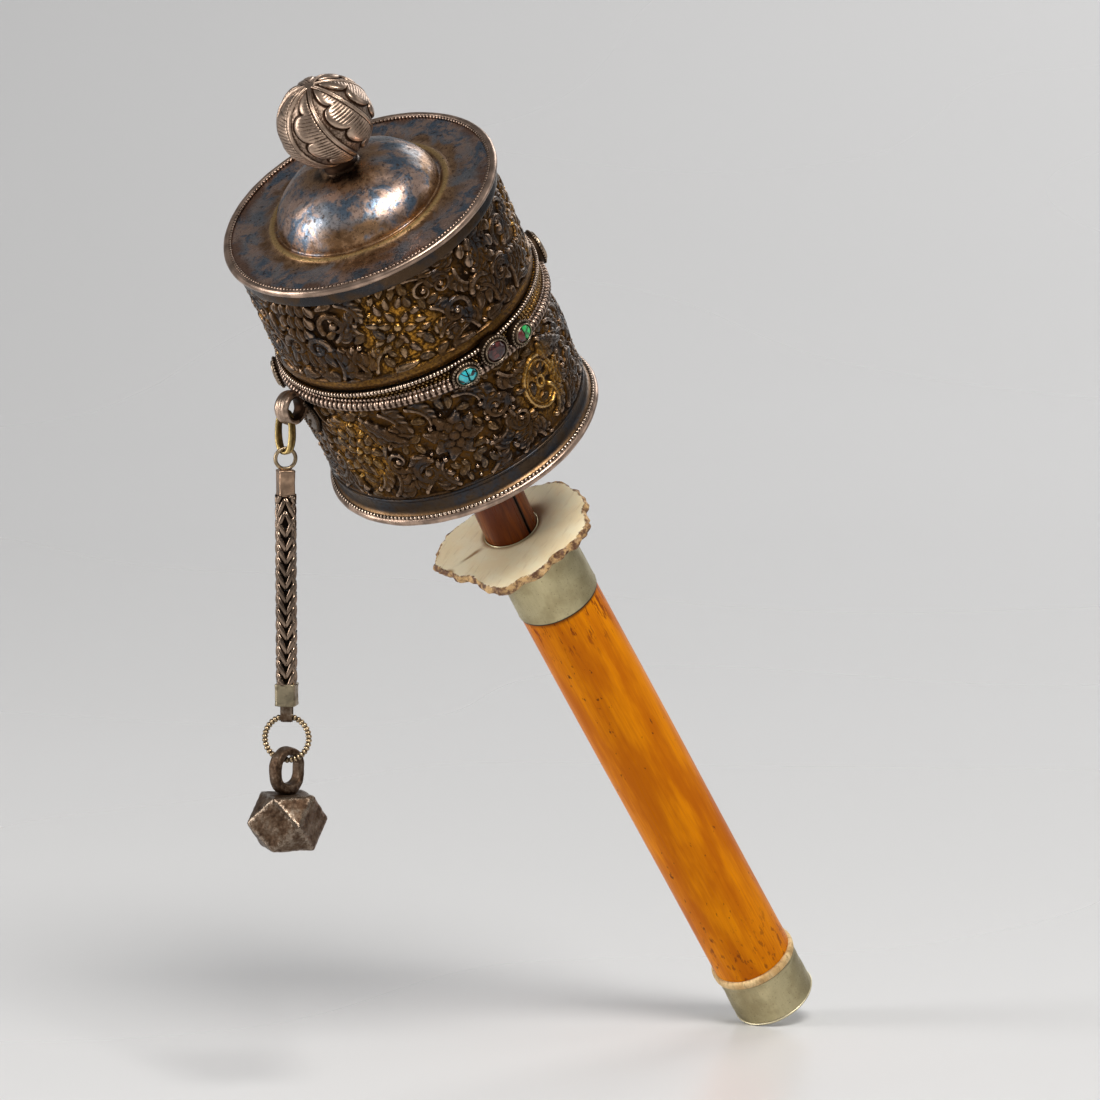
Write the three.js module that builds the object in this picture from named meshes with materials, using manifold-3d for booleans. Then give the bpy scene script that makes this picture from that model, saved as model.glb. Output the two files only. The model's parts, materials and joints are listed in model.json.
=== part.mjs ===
// Hand-held prayer wheel: a drum of chased silver that turns on an iron spindle, with a weighted
// chain, set on a bamboo grip. Millimetres, +Z up. The wheel is held leaning, as in use, with its
// grip's centre at the origin and the chain hanging straight down.
import * as THREE from "three";
import { ConvexGeometry } from "three/addons/geometries/ConvexGeometry.js";
import { mergeVertices } from "three/addons/utils/BufferGeometryUtils.js";
import Module from "manifold-3d";

// ---- Driving dimensions -------------------------------------------------------------------------

const degrees = THREE.MathUtils.degToRad;
const GAP = 0.3; // clearance between pieces that touch
const ROUND = 48; // sides of the large round pieces
const SMALL = 16; // sides of the small round pieces

// The old spindle has bent, so the drum leans and sits a little off the handle's axis.
const HANDLE_AXIS = new THREE.Vector3(-0.587, 0.054, 0.808).normalize();
const HEAD_LEAN = degrees(34.4); // spindle from the vertical, towards -X
const HEAD_OFFSET = new THREE.Vector3(-1.76, 2.3, 0); // spindle from the handle's axis

// Handle, measured along its own axis from the grip's centre.
const GRIP_RADIUS = 10.1;
const GRIP_HALF = 60.9;
const GRIP_BORE = 7.2;
const FERRULE_RADIUS = 10.4;
const FERRULE_WALL = 0.7;
const UPPER_FERRULE_TOP = 79.3; // just under the washer, which lies square to the spindle
const RING_THICK = 2.4; // pale wooden ring below the grip
const END_FERRULE_LOW = -75.6;
const FOOT_THICK = 1.0;
const WASHER_THICK = 2.6;
const WASHER_FACE = 82.9; // washer's top face above the grip's centre, on the handle's axis
const WASHER_SHIFT = new THREE.Vector2(0.5, -0.85); // the slice's middle from the spindle

// Spindle and what sits on it.
const SPINDLE_RADIUS = 2.1;
const SPINDLE_TAIL = -32; // end of the spindle inside the grip
const NECK_RADIUS = 6.6;
const NECK_BORE = 3.1;
const NECK_SHIFT = new THREE.Vector2(0.32, -0.5); // the sleeve sits loose on the spindle
const NECK_TOP = 31.4;
const NECK_SPLIT = degrees(262); // where the neck sleeve is split
const FINIAL_RADIUS = 11.5;
const FINIAL_HEIGHT = 24.3; // centre of the finial above the drum's top rim

// Drum.
const DRUM_LOW = 30;
const DRUM_HEIGHT = 70;
const DRUM_TOP = DRUM_LOW + DRUM_HEIGHT;
const RIM_RADIUS = 34;
const RIM_WIRE = 0.9;
const BAND_RADIUS = 32.3;
const SHEET = 0.6; // thickness of the silver sheet
const SLEEVE_RADIUS = 31.3; // plain sleeve behind both chased bands
const SKIRT = 3; // plain edge of the lid below its rim
const DOME_RADIUS = 20;
const DOME_HEIGHT = 12.2;
const FINE_WIRE = { radius: 32.7, wire: 0.6, z: DRUM_TOP - 30.6 };
const ROPE_WIRE = { radius: 32.75, wire: 1.1, z: DRUM_TOP - 35.4, rise: 1.8 };
const ROPE_LEAN = Math.atan2(ROPE_WIRE.rise, ROPE_WIRE.radius);
const ROPE_LOW_AT = degrees(326.5); // side where the rope wire sits lowest
const LOWER_BAND_LOW = DRUM_TOP - 62;

// Angle round the drum that faces the front of the wheel.
const FRONT = degrees(226.5);

// Lug and chain. The chain's frame: origin at the lug eye's centre, +Z up, -Y to the front.
const LUG_ANGLE = FRONT - degrees(72);
const LUG_RADIUS = 37.3;
const LUG_Z = DRUM_TOP - 34.8;
const CHAIN_YAW = degrees(-52.6);
const LUG_EYE = { ring: 2.3, wire: 1.2 };
const LINK = { yaw: degrees(-32), ring: 2.55, wire: 0.55, top: -0.4, bottom: -11.0 };
const SMALL_RING = { yaw: degrees(20), ring: 2.45, wire: 0.42, z: -12.35 };
const CAP_TOP = -15.5;
const CHAIN_TOP = -21.2;
const SEGMENTS = 6;
const SEGMENT_PITCH = 7.4;
const SEGMENT_GAP = 0.6;
const CHAIN_HALF = 2.55;
const CHAIN_LOW = CHAIN_TOP - SEGMENTS * SEGMENT_PITCH;
const LOWER_CAP_LOW = -70.9;
const BEADED_RING = { yaw: degrees(-6), ring: 5.2, wire: 0.65, z: -78.7 };
const STRAP = { width: 2.8, bore: 0.85, thick: 0.55 };
const WEIGHT_EYE = { yaw: degrees(50), ring: 3.4, wire: 1.1, flat: 1.18, stretch: 1.7, z: -86.28 };
const WEIGHT = { side: 14.1, height: 13, top: -92, yaw: degrees(63.5) };

// ---- Materials ----------------------------------------------------------------------------------

function metal(color, roughness) {
  return new THREE.MeshStandardMaterial({ color, roughness, metalness: 1 });
}

function plain(color, roughness) {
  return new THREE.MeshStandardMaterial({ color, roughness, metalness: 0 });
}

const materials = {
  chasedSilver: () => metal(0x5d5147, 0.42),
  tarnishedSilver: () => metal(0x5a5a60, 0.3),
  wornSilver: () => metal(0xa08a7c, 0.3),
  brass: () => metal(0xa98a52, 0.35),
  chainSilver: () => metal(0x8a7260, 0.35),
  nickel: () => metal(0x8e8d78, 0.4),
  iron: () => metal(0x54443a, 0.5),
  bamboo: () => plain(0xc2650f, 0.25),
  paleWood: () => plain(0xc99f63, 0.6),
  neckWood: () => plain(0x6b2510, 0.4),
  antler: () => plain(0xd9c7a4, 0.45),
  paper: () => plain(0xd8c9a2, 0.9),
  cloth: () => plain(0xb8860b, 0.9),
  turquoise: () => plain(0x1fa9b8, 0.3),
  garnet: () => plain(0x43201f, 0.15),
  greenStone: () => plain(0x1f9a3c, 0.25),
};

// ---- Shape helpers ------------------------------------------------------------------------------

const wasm = await Module();
wasm.setup();

// A closed geometry as a solid that can be joined and cut.
function solid(geometry) {
  const loose = geometry.index ? geometry.toNonIndexed() : geometry;
  const bare = new THREE.BufferGeometry();
  bare.setAttribute("position", loose.getAttribute("position"));
  const merged = mergeVertices(bare, 1e-3);
  const mesh = new wasm.Mesh({
    numProp: 3,
    vertProperties: merged.getAttribute("position").array,
    triVerts: new Uint32Array(merged.index.array),
  });
  return new wasm.Manifold(mesh);
}

function geometryOf(body) {
  const { vertProperties, triVerts } = body.getMesh();
  const geometry = new THREE.BufferGeometry();
  geometry.setAttribute("position", new THREE.BufferAttribute(new Float32Array(vertProperties), 3));
  geometry.setIndex(new THREE.BufferAttribute(new Uint32Array(triVerts), 1));
  geometry.computeVertexNormals();
  return geometry;
}

function cut(geometry, ...tools) {
  const left = tools.reduce((body, tool) => body.subtract(solid(tool)), solid(geometry));
  return geometryOf(left);
}

function join(...geometries) {
  const [first, ...rest] = geometries.map(solid);
  return geometryOf(rest.reduce((body, other) => body.add(other), first));
}

// A profile of [radius, z] points, counter-clockwise, turned about Z.
function turned(profile, sides = ROUND) {
  const points = profile.map(([radius, z]) => new THREE.Vector2(radius, z));
  return new THREE.LatheGeometry(points, sides).rotateX(Math.PI / 2);
}

function tube(inner, outer, low, high, sides = ROUND) {
  return turned(
    [
      [inner, low],
      [outer, low],
      [outer, high],
      [inner, high],
      [inner, low],
    ],
    sides,
  );
}

function rod(radius, low, high, sides = SMALL) {
  return turned(
    [
      [0, low],
      [radius, low],
      [radius, high],
      [0, high],
    ],
    sides,
  );
}

// A ring that stands upright and faces the front, pulled taller by stretch.
function uprightRing(ring, wire, stretch = 0, sides = 20) {
  const geometry = new THREE.TorusGeometry(ring, wire, 8, sides);
  const points = geometry.getAttribute("position");
  for (let i = 0; i < points.count; i += 1) {
    const y = points.getY(i);
    if (Math.abs(y) > 1e-4) points.setY(i, y + (Math.sign(y) * stretch) / 2);
  }
  return geometry.rotateX(Math.PI / 2);
}

function rodBetween(start, end, radius) {
  const along = end.clone().sub(start);
  const turn = new THREE.Quaternion().setFromUnitVectors(
    new THREE.Vector3(0, 0, 1),
    along.clone().normalize(),
  );
  const geometry = rod(radius, 0, along.length(), 10);
  return geometry.applyQuaternion(turn).translate(start.x, start.y, start.z);
}

function add(group, name, geometry, material) {
  const mesh = new THREE.Mesh(geometry, material);
  mesh.name = name;
  group.add(mesh);
  return mesh;
}

// ---- Frames -------------------------------------------------------------------------------------

const wheel = new THREE.Group();

const handle = new THREE.Group();
handle.quaternion.setFromUnitVectors(new THREE.Vector3(0, 0, 1), HANDLE_AXIS);
handle.updateMatrix();

// The drum's own frame: origin on the spindle at the washer's top face, +Z up the spindle.
const head = new THREE.Group();
head.position.copy(HANDLE_AXIS).multiplyScalar(WASHER_FACE).add(HEAD_OFFSET);
head.rotation.y = -HEAD_LEAN;
head.updateMatrix();

const chain = new THREE.Group();
const lugInHead = new THREE.Vector3(
  LUG_RADIUS * Math.cos(LUG_ANGLE),
  LUG_RADIUS * Math.sin(LUG_ANGLE),
  LUG_Z,
);
chain.position.copy(lugInHead).applyMatrix4(head.matrix);
chain.rotation.z = CHAIN_YAW;
chain.updateMatrix();

wheel.add(handle, head, chain);

const headInHandle = handle.matrix.clone().invert().multiply(head.matrix);

// A rod along the spindle, as a tool to cut pieces of the handle.
function spindleTool(radius, low, high) {
  return rod(radius, low, high, SMALL).applyMatrix4(headInHandle);
}

// ---- Handle -------------------------------------------------------------------------------------

function grip() {
  const end = GRIP_RADIUS - 1.1; // reduced ends that enter the ferrules
  const shoulder = GRIP_HALF;
  return turned([
    [GRIP_BORE, -shoulder - 14],
    [end, -shoulder - 14],
    [end, -shoulder + GAP],
    [GRIP_RADIUS + 0.1, -shoulder + GAP],
    [GRIP_RADIUS, 0],
    [GRIP_RADIUS - 0.1, shoulder - GAP],
    [end, shoulder - GAP],
    [end, shoulder + 14],
    [GRIP_BORE, shoulder + 14],
    [GRIP_BORE, -shoulder - 14],
  ], 32);
}

function upperFerrule() {
  const inner = FERRULE_RADIUS - FERRULE_WALL;
  const cup = turned([
    [inner, GRIP_HALF],
    [FERRULE_RADIUS - 0.1, GRIP_HALF],
    [FERRULE_RADIUS - 0.2, UPPER_FERRULE_TOP],
    [0, UPPER_FERRULE_TOP],
    [0, UPPER_FERRULE_TOP - FERRULE_WALL],
    [inner, UPPER_FERRULE_TOP - FERRULE_WALL],
    [inner, GRIP_HALF],
  ], 32);
  return cut(cup, spindleTool(SPINDLE_RADIUS + GAP, -20, 20));
}

function endFerrule() {
  const top = -GRIP_HALF - RING_THICK;
  const inner = FERRULE_RADIUS - FERRULE_WALL;
  return tube(inner, FERRULE_RADIUS, END_FERRULE_LOW + GAP, top, 32);
}

function footDisc() {
  const low = END_FERRULE_LOW - FOOT_THICK;
  return turned([
    [0, low],
    [FERRULE_RADIUS - 0.4, low],
    [FERRULE_RADIUS, low + 0.4],
    [FERRULE_RADIUS, END_FERRULE_LOW],
    [0, END_FERRULE_LOW],
  ], 32);
}

// Uneven disc sawn across an antler: radius by angle round the spindle, front first.
function washer() {
  const edge = [
    [0, 21.6], [26, 18.9], [45, 21.0], [70, 18.3], [98, 18.9], [127, 17.7], [150, 15.8],
    [180, 14.5], [207, 14.5], [244, 18.1], [272, 21.1], [285, 19.6], [310, 18.3], [338, 23.1],
  ];
  const spine = edge.map(([at, radius]) => {
    const angle = FRONT + degrees(at);
    return new THREE.Vector2(radius * Math.cos(angle), radius * Math.sin(angle));
  });
  const outline = new THREE.SplineCurve([...spine, spine[0]]).getPoints(3 * spine.length);
  const slab = new THREE.ExtrudeGeometry(new THREE.Shape(outline.slice(0, -1)), {
    depth: WASHER_THICK,
    bevelEnabled: false,
  });
  const hole = rod(NECK_RADIUS + GAP, -10, 10, 24).translate(NECK_SHIFT.x, NECK_SHIFT.y, 0);
  return cut(slab.translate(WASHER_SHIFT.x, WASHER_SHIFT.y, -WASHER_THICK), hole);
}

function neckSleeve() {
  const low = GAP - WASHER_THICK;
  const sleeve = tube(NECK_BORE, NECK_RADIUS, low, NECK_TOP, 24);
  const slot = new THREE.BoxGeometry(8, 0.6, NECK_TOP + 20).translate(7, 0, NECK_TOP / 2);
  return cut(sleeve, slot.rotateZ(NECK_SPLIT)).translate(NECK_SHIFT.x, NECK_SHIFT.y, 0);
}

function buildHandle() {
  const inside = GRIP_BORE - GAP;
  const top = UPPER_FERRULE_TOP - FERRULE_WALL - GAP;
  const plug = cut(
    rod(inside, top - 44, top, 24),
    spindleTool(SPINDLE_RADIUS + 0.15, SPINDLE_TAIL - 1, 20),
  );
  const ringInner = GRIP_RADIUS - 1.1 + GAP;
  const ring = tube(
    ringInner,
    GRIP_RADIUS + 0.9,
    -GRIP_HALF - RING_THICK + GAP,
    -GRIP_HALF,
    32,
  );
  add(handle, "foot_disc", footDisc(), materials.nickel());
  add(handle, "end_ferrule", endFerrule(), materials.nickel());
  add(handle, "end_plug", rod(inside, -74, -54, 24), materials.paleWood());
  add(handle, "grip_ring", ring, materials.paleWood());
  add(handle, "grip", grip(), materials.bamboo());
  add(handle, "spindle_plug", plug, materials.paleWood());
  add(handle, "upper_ferrule", upperFerrule(), materials.nickel());
  add(head, "antler_washer", washer(), materials.antler());
  add(head, "neck_sleeve", neckSleeve(), materials.neckWood());
}

// ---- Spindle and finial -------------------------------------------------------------------------

const DOME_TOP = DRUM_TOP + DOME_HEIGHT;
const FINIAL_Z = DRUM_TOP + FINIAL_HEIGHT;
const SPINDLE_TOP = FINIAL_Z - 2;

function finial() {
  const steps = 16;
  const profile = [[0, FINIAL_Z - FINIAL_RADIUS]];
  for (let i = 1; i < steps; i += 1) {
    const angle = Math.PI * (i / steps - 0.5);
    profile.push([FINIAL_RADIUS * Math.cos(angle), FINIAL_Z + FINIAL_RADIUS * Math.sin(angle)]);
  }
  profile.push([0, FINIAL_Z + FINIAL_RADIUS]);
  const socket = rod(SPINDLE_RADIUS + GAP, FINIAL_Z - 2 * FINIAL_RADIUS, SPINDLE_TOP + GAP);
  return cut(turned(profile, 32), socket);
}

function buildSpindle() {
  const collarLow = DOME_TOP - 0.4;
  const collarHigh = FINIAL_Z - FINIAL_RADIUS - 0.1;
  const collar = turned([
    [SPINDLE_RADIUS + GAP, collarLow],
    [5.4, collarLow],
    [4.6, collarHigh],
    [SPINDLE_RADIUS + GAP, collarHigh],
    [SPINDLE_RADIUS + GAP, collarLow],
  ], 20);
  add(head, "spindle", rod(SPINDLE_RADIUS, SPINDLE_TAIL, SPINDLE_TOP), materials.iron());
  add(head, "finial_collar", collar, materials.brass());
  add(head, "finial", finial(), materials.wornSilver());
}

// ---- Drum ---------------------------------------------------------------------------------------

// Lid: domed disc with a stepped flange and a plain skirt that slips over the upper band.
function topCover() {
  const hole = 3.0;
  const flange = RIM_RADIUS - 2 * RIM_WIRE - GAP;
  const step = 21.5;
  const top = DRUM_TOP + 0.4;
  const outside = [
    [flange, DRUM_TOP - SKIRT],
    [flange, top],
    [step + 0.8, top],
    [step, top + 0.9],
    [DOME_RADIUS, top + 0.6],
  ];
  for (let i = 1; i <= 5; i += 1) {
    const angle = (i / 6) * (Math.PI / 2);
    const radius = hole + 1.2 + (DOME_RADIUS - hole - 1.2) * Math.cos(angle);
    outside.push([radius, top + 0.6 + (DOME_HEIGHT - 2.1) * Math.sin(angle) ** 1.15]);
  }
  outside.push([hole, DOME_TOP - 0.7]);
  const inside = outside.map(([radius, z], i) => {
    if (i === 0) return [radius - SHEET, z];
    if (i === 1) return [radius - SHEET, z - SHEET];
    return [Math.max(radius - 0.35, hole), z - 1.4 * SHEET];
  });
  inside.reverse();
  return turned([...outside, ...inside, outside[0]]);
}

// Base: flared skirt below the lower band, with a floor that carries the lower bush.
function bottomCover() {
  const outer = BAND_RADIUS - 0.3;
  const hole = 5.2;
  const lip = RIM_RADIUS - 2 * RIM_WIRE - GAP;
  return turned([
    [hole, DRUM_LOW + 2.4],
    [outer - 1.4, DRUM_LOW + 2.4],
    [lip - 0.9, DRUM_LOW + 0.4],
    [lip, DRUM_LOW + 0.4],
    [lip, DRUM_LOW + 1.2],
    [outer, DRUM_LOW + 3.2],
    [outer - 0.3, LOWER_BAND_LOW - GAP],
    [outer - 0.9, LOWER_BAND_LOW - GAP],
    [outer - 0.9, DRUM_LOW + 3.4],
    [hole, DRUM_LOW + 3.4],
    [hole, DRUM_LOW + 2.4],
  ]);
}

// Plane of the rope wire, which rides slightly crooked round the drum.
function ropePlane(geometry, lift = 0) {
  geometry.rotateY(ROPE_LEAN);
  geometry.rotateZ(ROPE_LOW_AT);
  return geometry.translate(0, 0, ROPE_WIRE.z + lift);
}

function lowerBand() {
  const band = tube(SLEEVE_RADIUS + GAP, BAND_RADIUS - 0.2, LOWER_BAND_LOW, ROPE_WIRE.z + 5);
  const above = rod(60, 0, 30, 24);
  return cut(band, ropePlane(above, -ROPE_WIRE.wire - GAP));
}

function wireRing({ radius, wire }, sides = ROUND) {
  return new THREE.TorusGeometry(radius, wire, 6, sides);
}

function buildDrumCase() {
  const rimWire = { radius: RIM_RADIUS - RIM_WIRE, wire: RIM_WIRE };
  const bandTop = DRUM_TOP - SKIRT - GAP;
  const upperLow = FINE_WIRE.z + FINE_WIRE.wire + GAP;
  const upperBand = tube(SLEEVE_RADIUS + GAP, BAND_RADIUS, upperLow, bandTop);
  const sleeve = tube(SLEEVE_RADIUS - SHEET, SLEEVE_RADIUS, DRUM_TOP - 44, DRUM_TOP - 25);
  const rope = ropePlane(wireRing(ROPE_WIRE));
  const fine = wireRing(FINE_WIRE).translate(0, 0, FINE_WIRE.z);
  add(head, "top_cover", topCover(), materials.tarnishedSilver());
  add(head, "top_rim_wire", wireRing(rimWire).translate(0, 0, DRUM_TOP), materials.wornSilver());
  add(head, "upper_band", upperBand, materials.chasedSilver());
  add(head, "joint_sleeve", sleeve, materials.chasedSilver());
  add(head, "fine_wire", fine, materials.wornSilver());
  add(head, "rope_wire", rope, materials.wornSilver());
  add(head, "lower_band", lowerBand(), materials.chasedSilver());
  add(head, "bottom_cover", bottomCover(), materials.tarnishedSilver());
  const lowWire = wireRing(rimWire).translate(0, 0, DRUM_LOW + 0.9);
  add(head, "bottom_rim_wire", lowWire, materials.wornSilver());
}

// Wound prayer paper on its wooden core, wrapped in cloth, between two bushes.
function buildScroll() {
  const low = DRUM_LOW + 6;
  const high = DRUM_TOP - 3;
  const core = 5.6;
  const paper = 27.4;
  const bore = SPINDLE_RADIUS + GAP;
  const bushLow = NECK_TOP + GAP;
  const lowerBush = turned([
    [bore, bushLow],
    [4.8, bushLow],
    [4.8, low - GAP],
    [bore, low - GAP],
    [bore, bushLow],
  ], 20);
  const upperBush = tube(bore, 4.6, high + GAP, high + 6, 20);
  add(head, "lower_bush", lowerBush, materials.brass());
  add(head, "upper_bush", upperBush, materials.brass());
  add(head, "scroll_core", tube(bore, core, low, high, 20), materials.paleWood());
  const wound = tube(core + GAP, paper, low + 1, high - 1, 32);
  add(head, "paper_scroll", wound, materials.paper());
  const wrap = tube(paper + GAP, paper + GAP + 0.8, low + 1, high - 1, 32);
  add(head, "scroll_wrap", wrap, materials.cloth());
}

// A frame on the drum's side: +Z outwards, +Y up the drum.
function onDrum(geometry, angle, z, radius) {
  const outwards = new THREE.Vector3(Math.cos(angle), Math.sin(angle), 0);
  const up = new THREE.Vector3(0, 0, 1);
  const along = new THREE.Vector3().crossVectors(up, outwards);
  const place = new THREE.Matrix4().makeBasis(along, up, outwards);
  place.setPosition(radius * outwards.x, radius * outwards.y, z);
  return geometry.applyMatrix4(place);
}

const SETTING_BASE = 34.15; // settings stand proud of the rope wire

function addSetting(name, setting) {
  const { at, drop, size, wide, tall = 1, stone } = setting;
  const angle = FRONT + degrees(at);
  const z = DRUM_TOP - drop;
  const cup = turned([
    [0, 0],
    [size + 0.45, 0],
    [size + 0.45, 0.9],
    [size, 1.2],
    [size, 0.5],
    [0, 0.5],
  ], 12);
  const dome = turned([
    [0, 0.8],
    [size - 0.3, 0.8],
    [size - 0.35, 1.3],
    [size * 0.6, 2.0],
    [0, 2.3],
  ], 12);
  cup.scale(wide, tall, 1);
  dome.scale(wide, tall, 1);
  add(head, name + "_bezel", onDrum(cup, angle, z, SETTING_BASE), materials.chasedSilver());
  add(head, name + "_stone", onDrum(dome, angle, z, SETTING_BASE), stone());
}

function buildSettings() {
  const { turquoise, garnet, greenStone } = materials;
  const front = [
    { at: 10.4, drop: 33.6, size: 2.2, wide: 1.25, stone: turquoise },
    { at: 25, drop: 32.4, size: 2.7, wide: 1.1, stone: garnet },
    { at: 39.5, drop: 34.1, size: 2.2, wide: 1.2, stone: greenStone },
  ];
  front.forEach((setting, i) => addSetting("front_" + (i + 1), setting));
  front.forEach((setting, i) => {
    addSetting("back_" + (i + 1), { ...setting, at: setting.at + 170 });
  });
  addSetting("right", { at: 102, drop: 35, size: 2.9, wide: 1.25, tall: 1.25, stone: garnet });
  addSetting("left", { at: -99, drop: 36, size: 2.6, wide: 1.1, tall: 1.2, stone: garnet });
}

// ---- Lug and chain ------------------------------------------------------------------------------

// Stout eye on a stem; its hole lies across the plane of the oval link.
function lugEye() {
  const eye = uprightRing(LUG_EYE.ring, LUG_EYE.wire).rotateZ(LINK.yaw + Math.PI / 2);
  const headToChain = chain.matrix.clone().invert().multiply(head.matrix);
  const foot = new THREE.Vector3(BAND_RADIUS + 1.95, 0, LUG_Z - 5.5)
    .applyAxisAngle(new THREE.Vector3(0, 0, 1), LUG_ANGLE)
    .applyMatrix4(headToChain);
  const side = new THREE.Vector3(Math.sin(LINK.yaw), -Math.cos(LINK.yaw), 0);
  const inPlane = side.multiplyScalar(foot.dot(side)).setZ(foot.z);
  const shoulder = inPlane.normalize().multiplyScalar(LUG_EYE.ring);
  return join(eye, rodBetween(foot, shoulder, 1.1));
}

function lugPlate() {
  const leaf = new THREE.Shape();
  leaf.moveTo(0, 3.6);
  leaf.quadraticCurveTo(5.2, 2.4, 4.2, -1.2);
  leaf.quadraticCurveTo(2.6, -3.2, 0, -6.4);
  leaf.quadraticCurveTo(-2.6, -3.2, -4.2, -1.2);
  leaf.quadraticCurveTo(-5.2, 2.4, 0, 3.6);
  const plate = new THREE.ExtrudeGeometry(leaf, {
    depth: 0.6,
    bevelEnabled: false,
    curveSegments: 4,
  });
  return onDrum(plate, LUG_ANGLE, DRUM_TOP - 39.6, BAND_RADIUS + 0.25);
}

// One stretch of the woven chain: square, with its ends drawn in.
function wovenSegment(top) {
  const high = top - SEGMENT_GAP / 2;
  const low = top - SEGMENT_PITCH + SEGMENT_GAP / 2;
  const corner = CHAIN_HALF * Math.SQRT2;
  return turned([
    [0, low],
    [corner - 0.8, low],
    [corner, low + 0.7],
    [corner, high - 0.7],
    [corner - 0.8, high],
    [0, high],
  ], 4).rotateZ(Math.PI / 4);
}

function squareCap(half, low, high) {
  return new THREE.BoxGeometry(2 * half, 2 * half, high - low).translate(0, 0, (low + high) / 2);
}

// Flat strap folded round the beaded ring's wire.
function strapLoop() {
  const outer = STRAP.bore + STRAP.thick;
  const pin = BEADED_RING.z + BEADED_RING.ring;
  const top = LOWER_CAP_LOW - GAP - pin;
  const outline = new THREE.Shape();
  outline.moveTo(-outer, top);
  outline.lineTo(-outer, 0);
  outline.absarc(0, 0, outer, Math.PI, 2 * Math.PI, false);
  outline.lineTo(outer, top);
  outline.closePath();
  const hole = new THREE.Path();
  hole.absarc(0, 0, STRAP.bore, 0, 2 * Math.PI, true);
  outline.holes.push(hole);
  const strap = new THREE.ExtrudeGeometry(outline, {
    depth: STRAP.width,
    bevelEnabled: false,
    curveSegments: 12,
  });
  strap.translate(0, 0, -STRAP.width / 2);
  strap.rotateX(Math.PI / 2).rotateZ(Math.PI / 2 + BEADED_RING.yaw);
  return strap.translate(0, 0, pin);
}

// Cube with its corners cut back to the middles of its edges.
function weightBody() {
  const half = WEIGHT.side / 2;
  const rise = WEIGHT.height / 2;
  const corners = [];
  for (const a of [-1, 1]) {
    for (const b of [-1, 1]) {
      corners.push(new THREE.Vector3(a * half, b * half, 0));
      corners.push(new THREE.Vector3(a * half, 0, b * rise));
      corners.push(new THREE.Vector3(0, a * half, b * rise));
    }
  }
  const body = new ConvexGeometry(corners).rotateZ(WEIGHT.yaw);
  return body.translate(0, 0, WEIGHT.top - rise);
}

function buildChain() {
  const linkLength = LINK.top - LINK.bottom;
  const link = uprightRing(LINK.ring, LINK.wire, linkLength - 2 * LINK.ring);
  link.rotateZ(LINK.yaw).translate(0, 0, (LINK.top + LINK.bottom) / 2);
  const smallRing = uprightRing(SMALL_RING.ring, SMALL_RING.wire);
  smallRing.rotateZ(SMALL_RING.yaw).translate(0, 0, SMALL_RING.z);
  const beadedRing = uprightRing(BEADED_RING.ring, BEADED_RING.wire, 0, 28);
  beadedRing.rotateZ(BEADED_RING.yaw).translate(0, 0, BEADED_RING.z);
  const eye = uprightRing(WEIGHT_EYE.ring, WEIGHT_EYE.wire, WEIGHT_EYE.stretch);
  eye.scale(1, WEIGHT_EYE.flat, 1);
  eye.rotateZ(WEIGHT_EYE.yaw).translate(0, 0, WEIGHT_EYE.z);

  add(chain, "lug_eye", lugEye(), materials.wornSilver());
  add(head, "lug_plate", lugPlate(), materials.chasedSilver());
  add(chain, "oval_link", link, materials.brass());
  add(chain, "small_ring", smallRing, materials.brass());
  add(chain, "upper_cap", squareCap(2.4, CHAIN_TOP, CAP_TOP), materials.chainSilver());
  for (let i = 0; i < SEGMENTS; i += 1) {
    const segment = wovenSegment(CHAIN_TOP - i * SEGMENT_PITCH);
    add(chain, "woven_chain_" + (i + 1), segment, materials.chainSilver());
  }
  const lowerCap = squareCap(2.85, LOWER_CAP_LOW, CHAIN_LOW);
  add(chain, "lower_cap", lowerCap, materials.nickel());
  add(chain, "strap_loop", strapLoop(), materials.iron());
  add(chain, "beaded_ring", beadedRing, materials.brass());
  add(chain, "weight_eye", eye, materials.iron());
  add(chain, "weight", weightBody(), materials.iron());
}

buildHandle();
buildSpindle();
buildDrumCase();
buildScroll();
buildSettings();
buildChain();

export default wheel;
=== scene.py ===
"""Looks of a hand-held prayer wheel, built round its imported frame.
Shapes are worked out in millimetres in their own frames, and become metres when they are placed."""

import json
import math

import bpy
import numpy as np
from mathutils import Matrix, Vector


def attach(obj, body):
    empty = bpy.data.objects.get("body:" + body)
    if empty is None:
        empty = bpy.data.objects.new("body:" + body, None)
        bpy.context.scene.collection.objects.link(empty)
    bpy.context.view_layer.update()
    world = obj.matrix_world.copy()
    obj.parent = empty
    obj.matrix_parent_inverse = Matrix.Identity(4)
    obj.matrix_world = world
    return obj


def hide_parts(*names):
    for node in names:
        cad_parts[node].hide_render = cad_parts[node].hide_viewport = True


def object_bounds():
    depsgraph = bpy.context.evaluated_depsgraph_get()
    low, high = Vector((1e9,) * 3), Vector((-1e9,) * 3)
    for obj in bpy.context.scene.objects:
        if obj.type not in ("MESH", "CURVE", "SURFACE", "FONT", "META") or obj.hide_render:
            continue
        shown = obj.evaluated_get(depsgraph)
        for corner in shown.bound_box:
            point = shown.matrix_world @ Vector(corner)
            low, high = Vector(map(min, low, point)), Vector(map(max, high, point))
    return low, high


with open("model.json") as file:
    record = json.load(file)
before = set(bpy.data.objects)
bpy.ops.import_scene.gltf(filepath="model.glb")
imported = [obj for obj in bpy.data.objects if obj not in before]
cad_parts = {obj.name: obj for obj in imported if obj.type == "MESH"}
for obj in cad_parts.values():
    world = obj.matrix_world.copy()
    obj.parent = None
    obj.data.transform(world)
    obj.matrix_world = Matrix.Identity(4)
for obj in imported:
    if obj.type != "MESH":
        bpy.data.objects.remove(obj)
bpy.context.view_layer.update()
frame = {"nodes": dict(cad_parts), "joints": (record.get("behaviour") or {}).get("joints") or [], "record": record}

MM = 0.001
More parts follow.
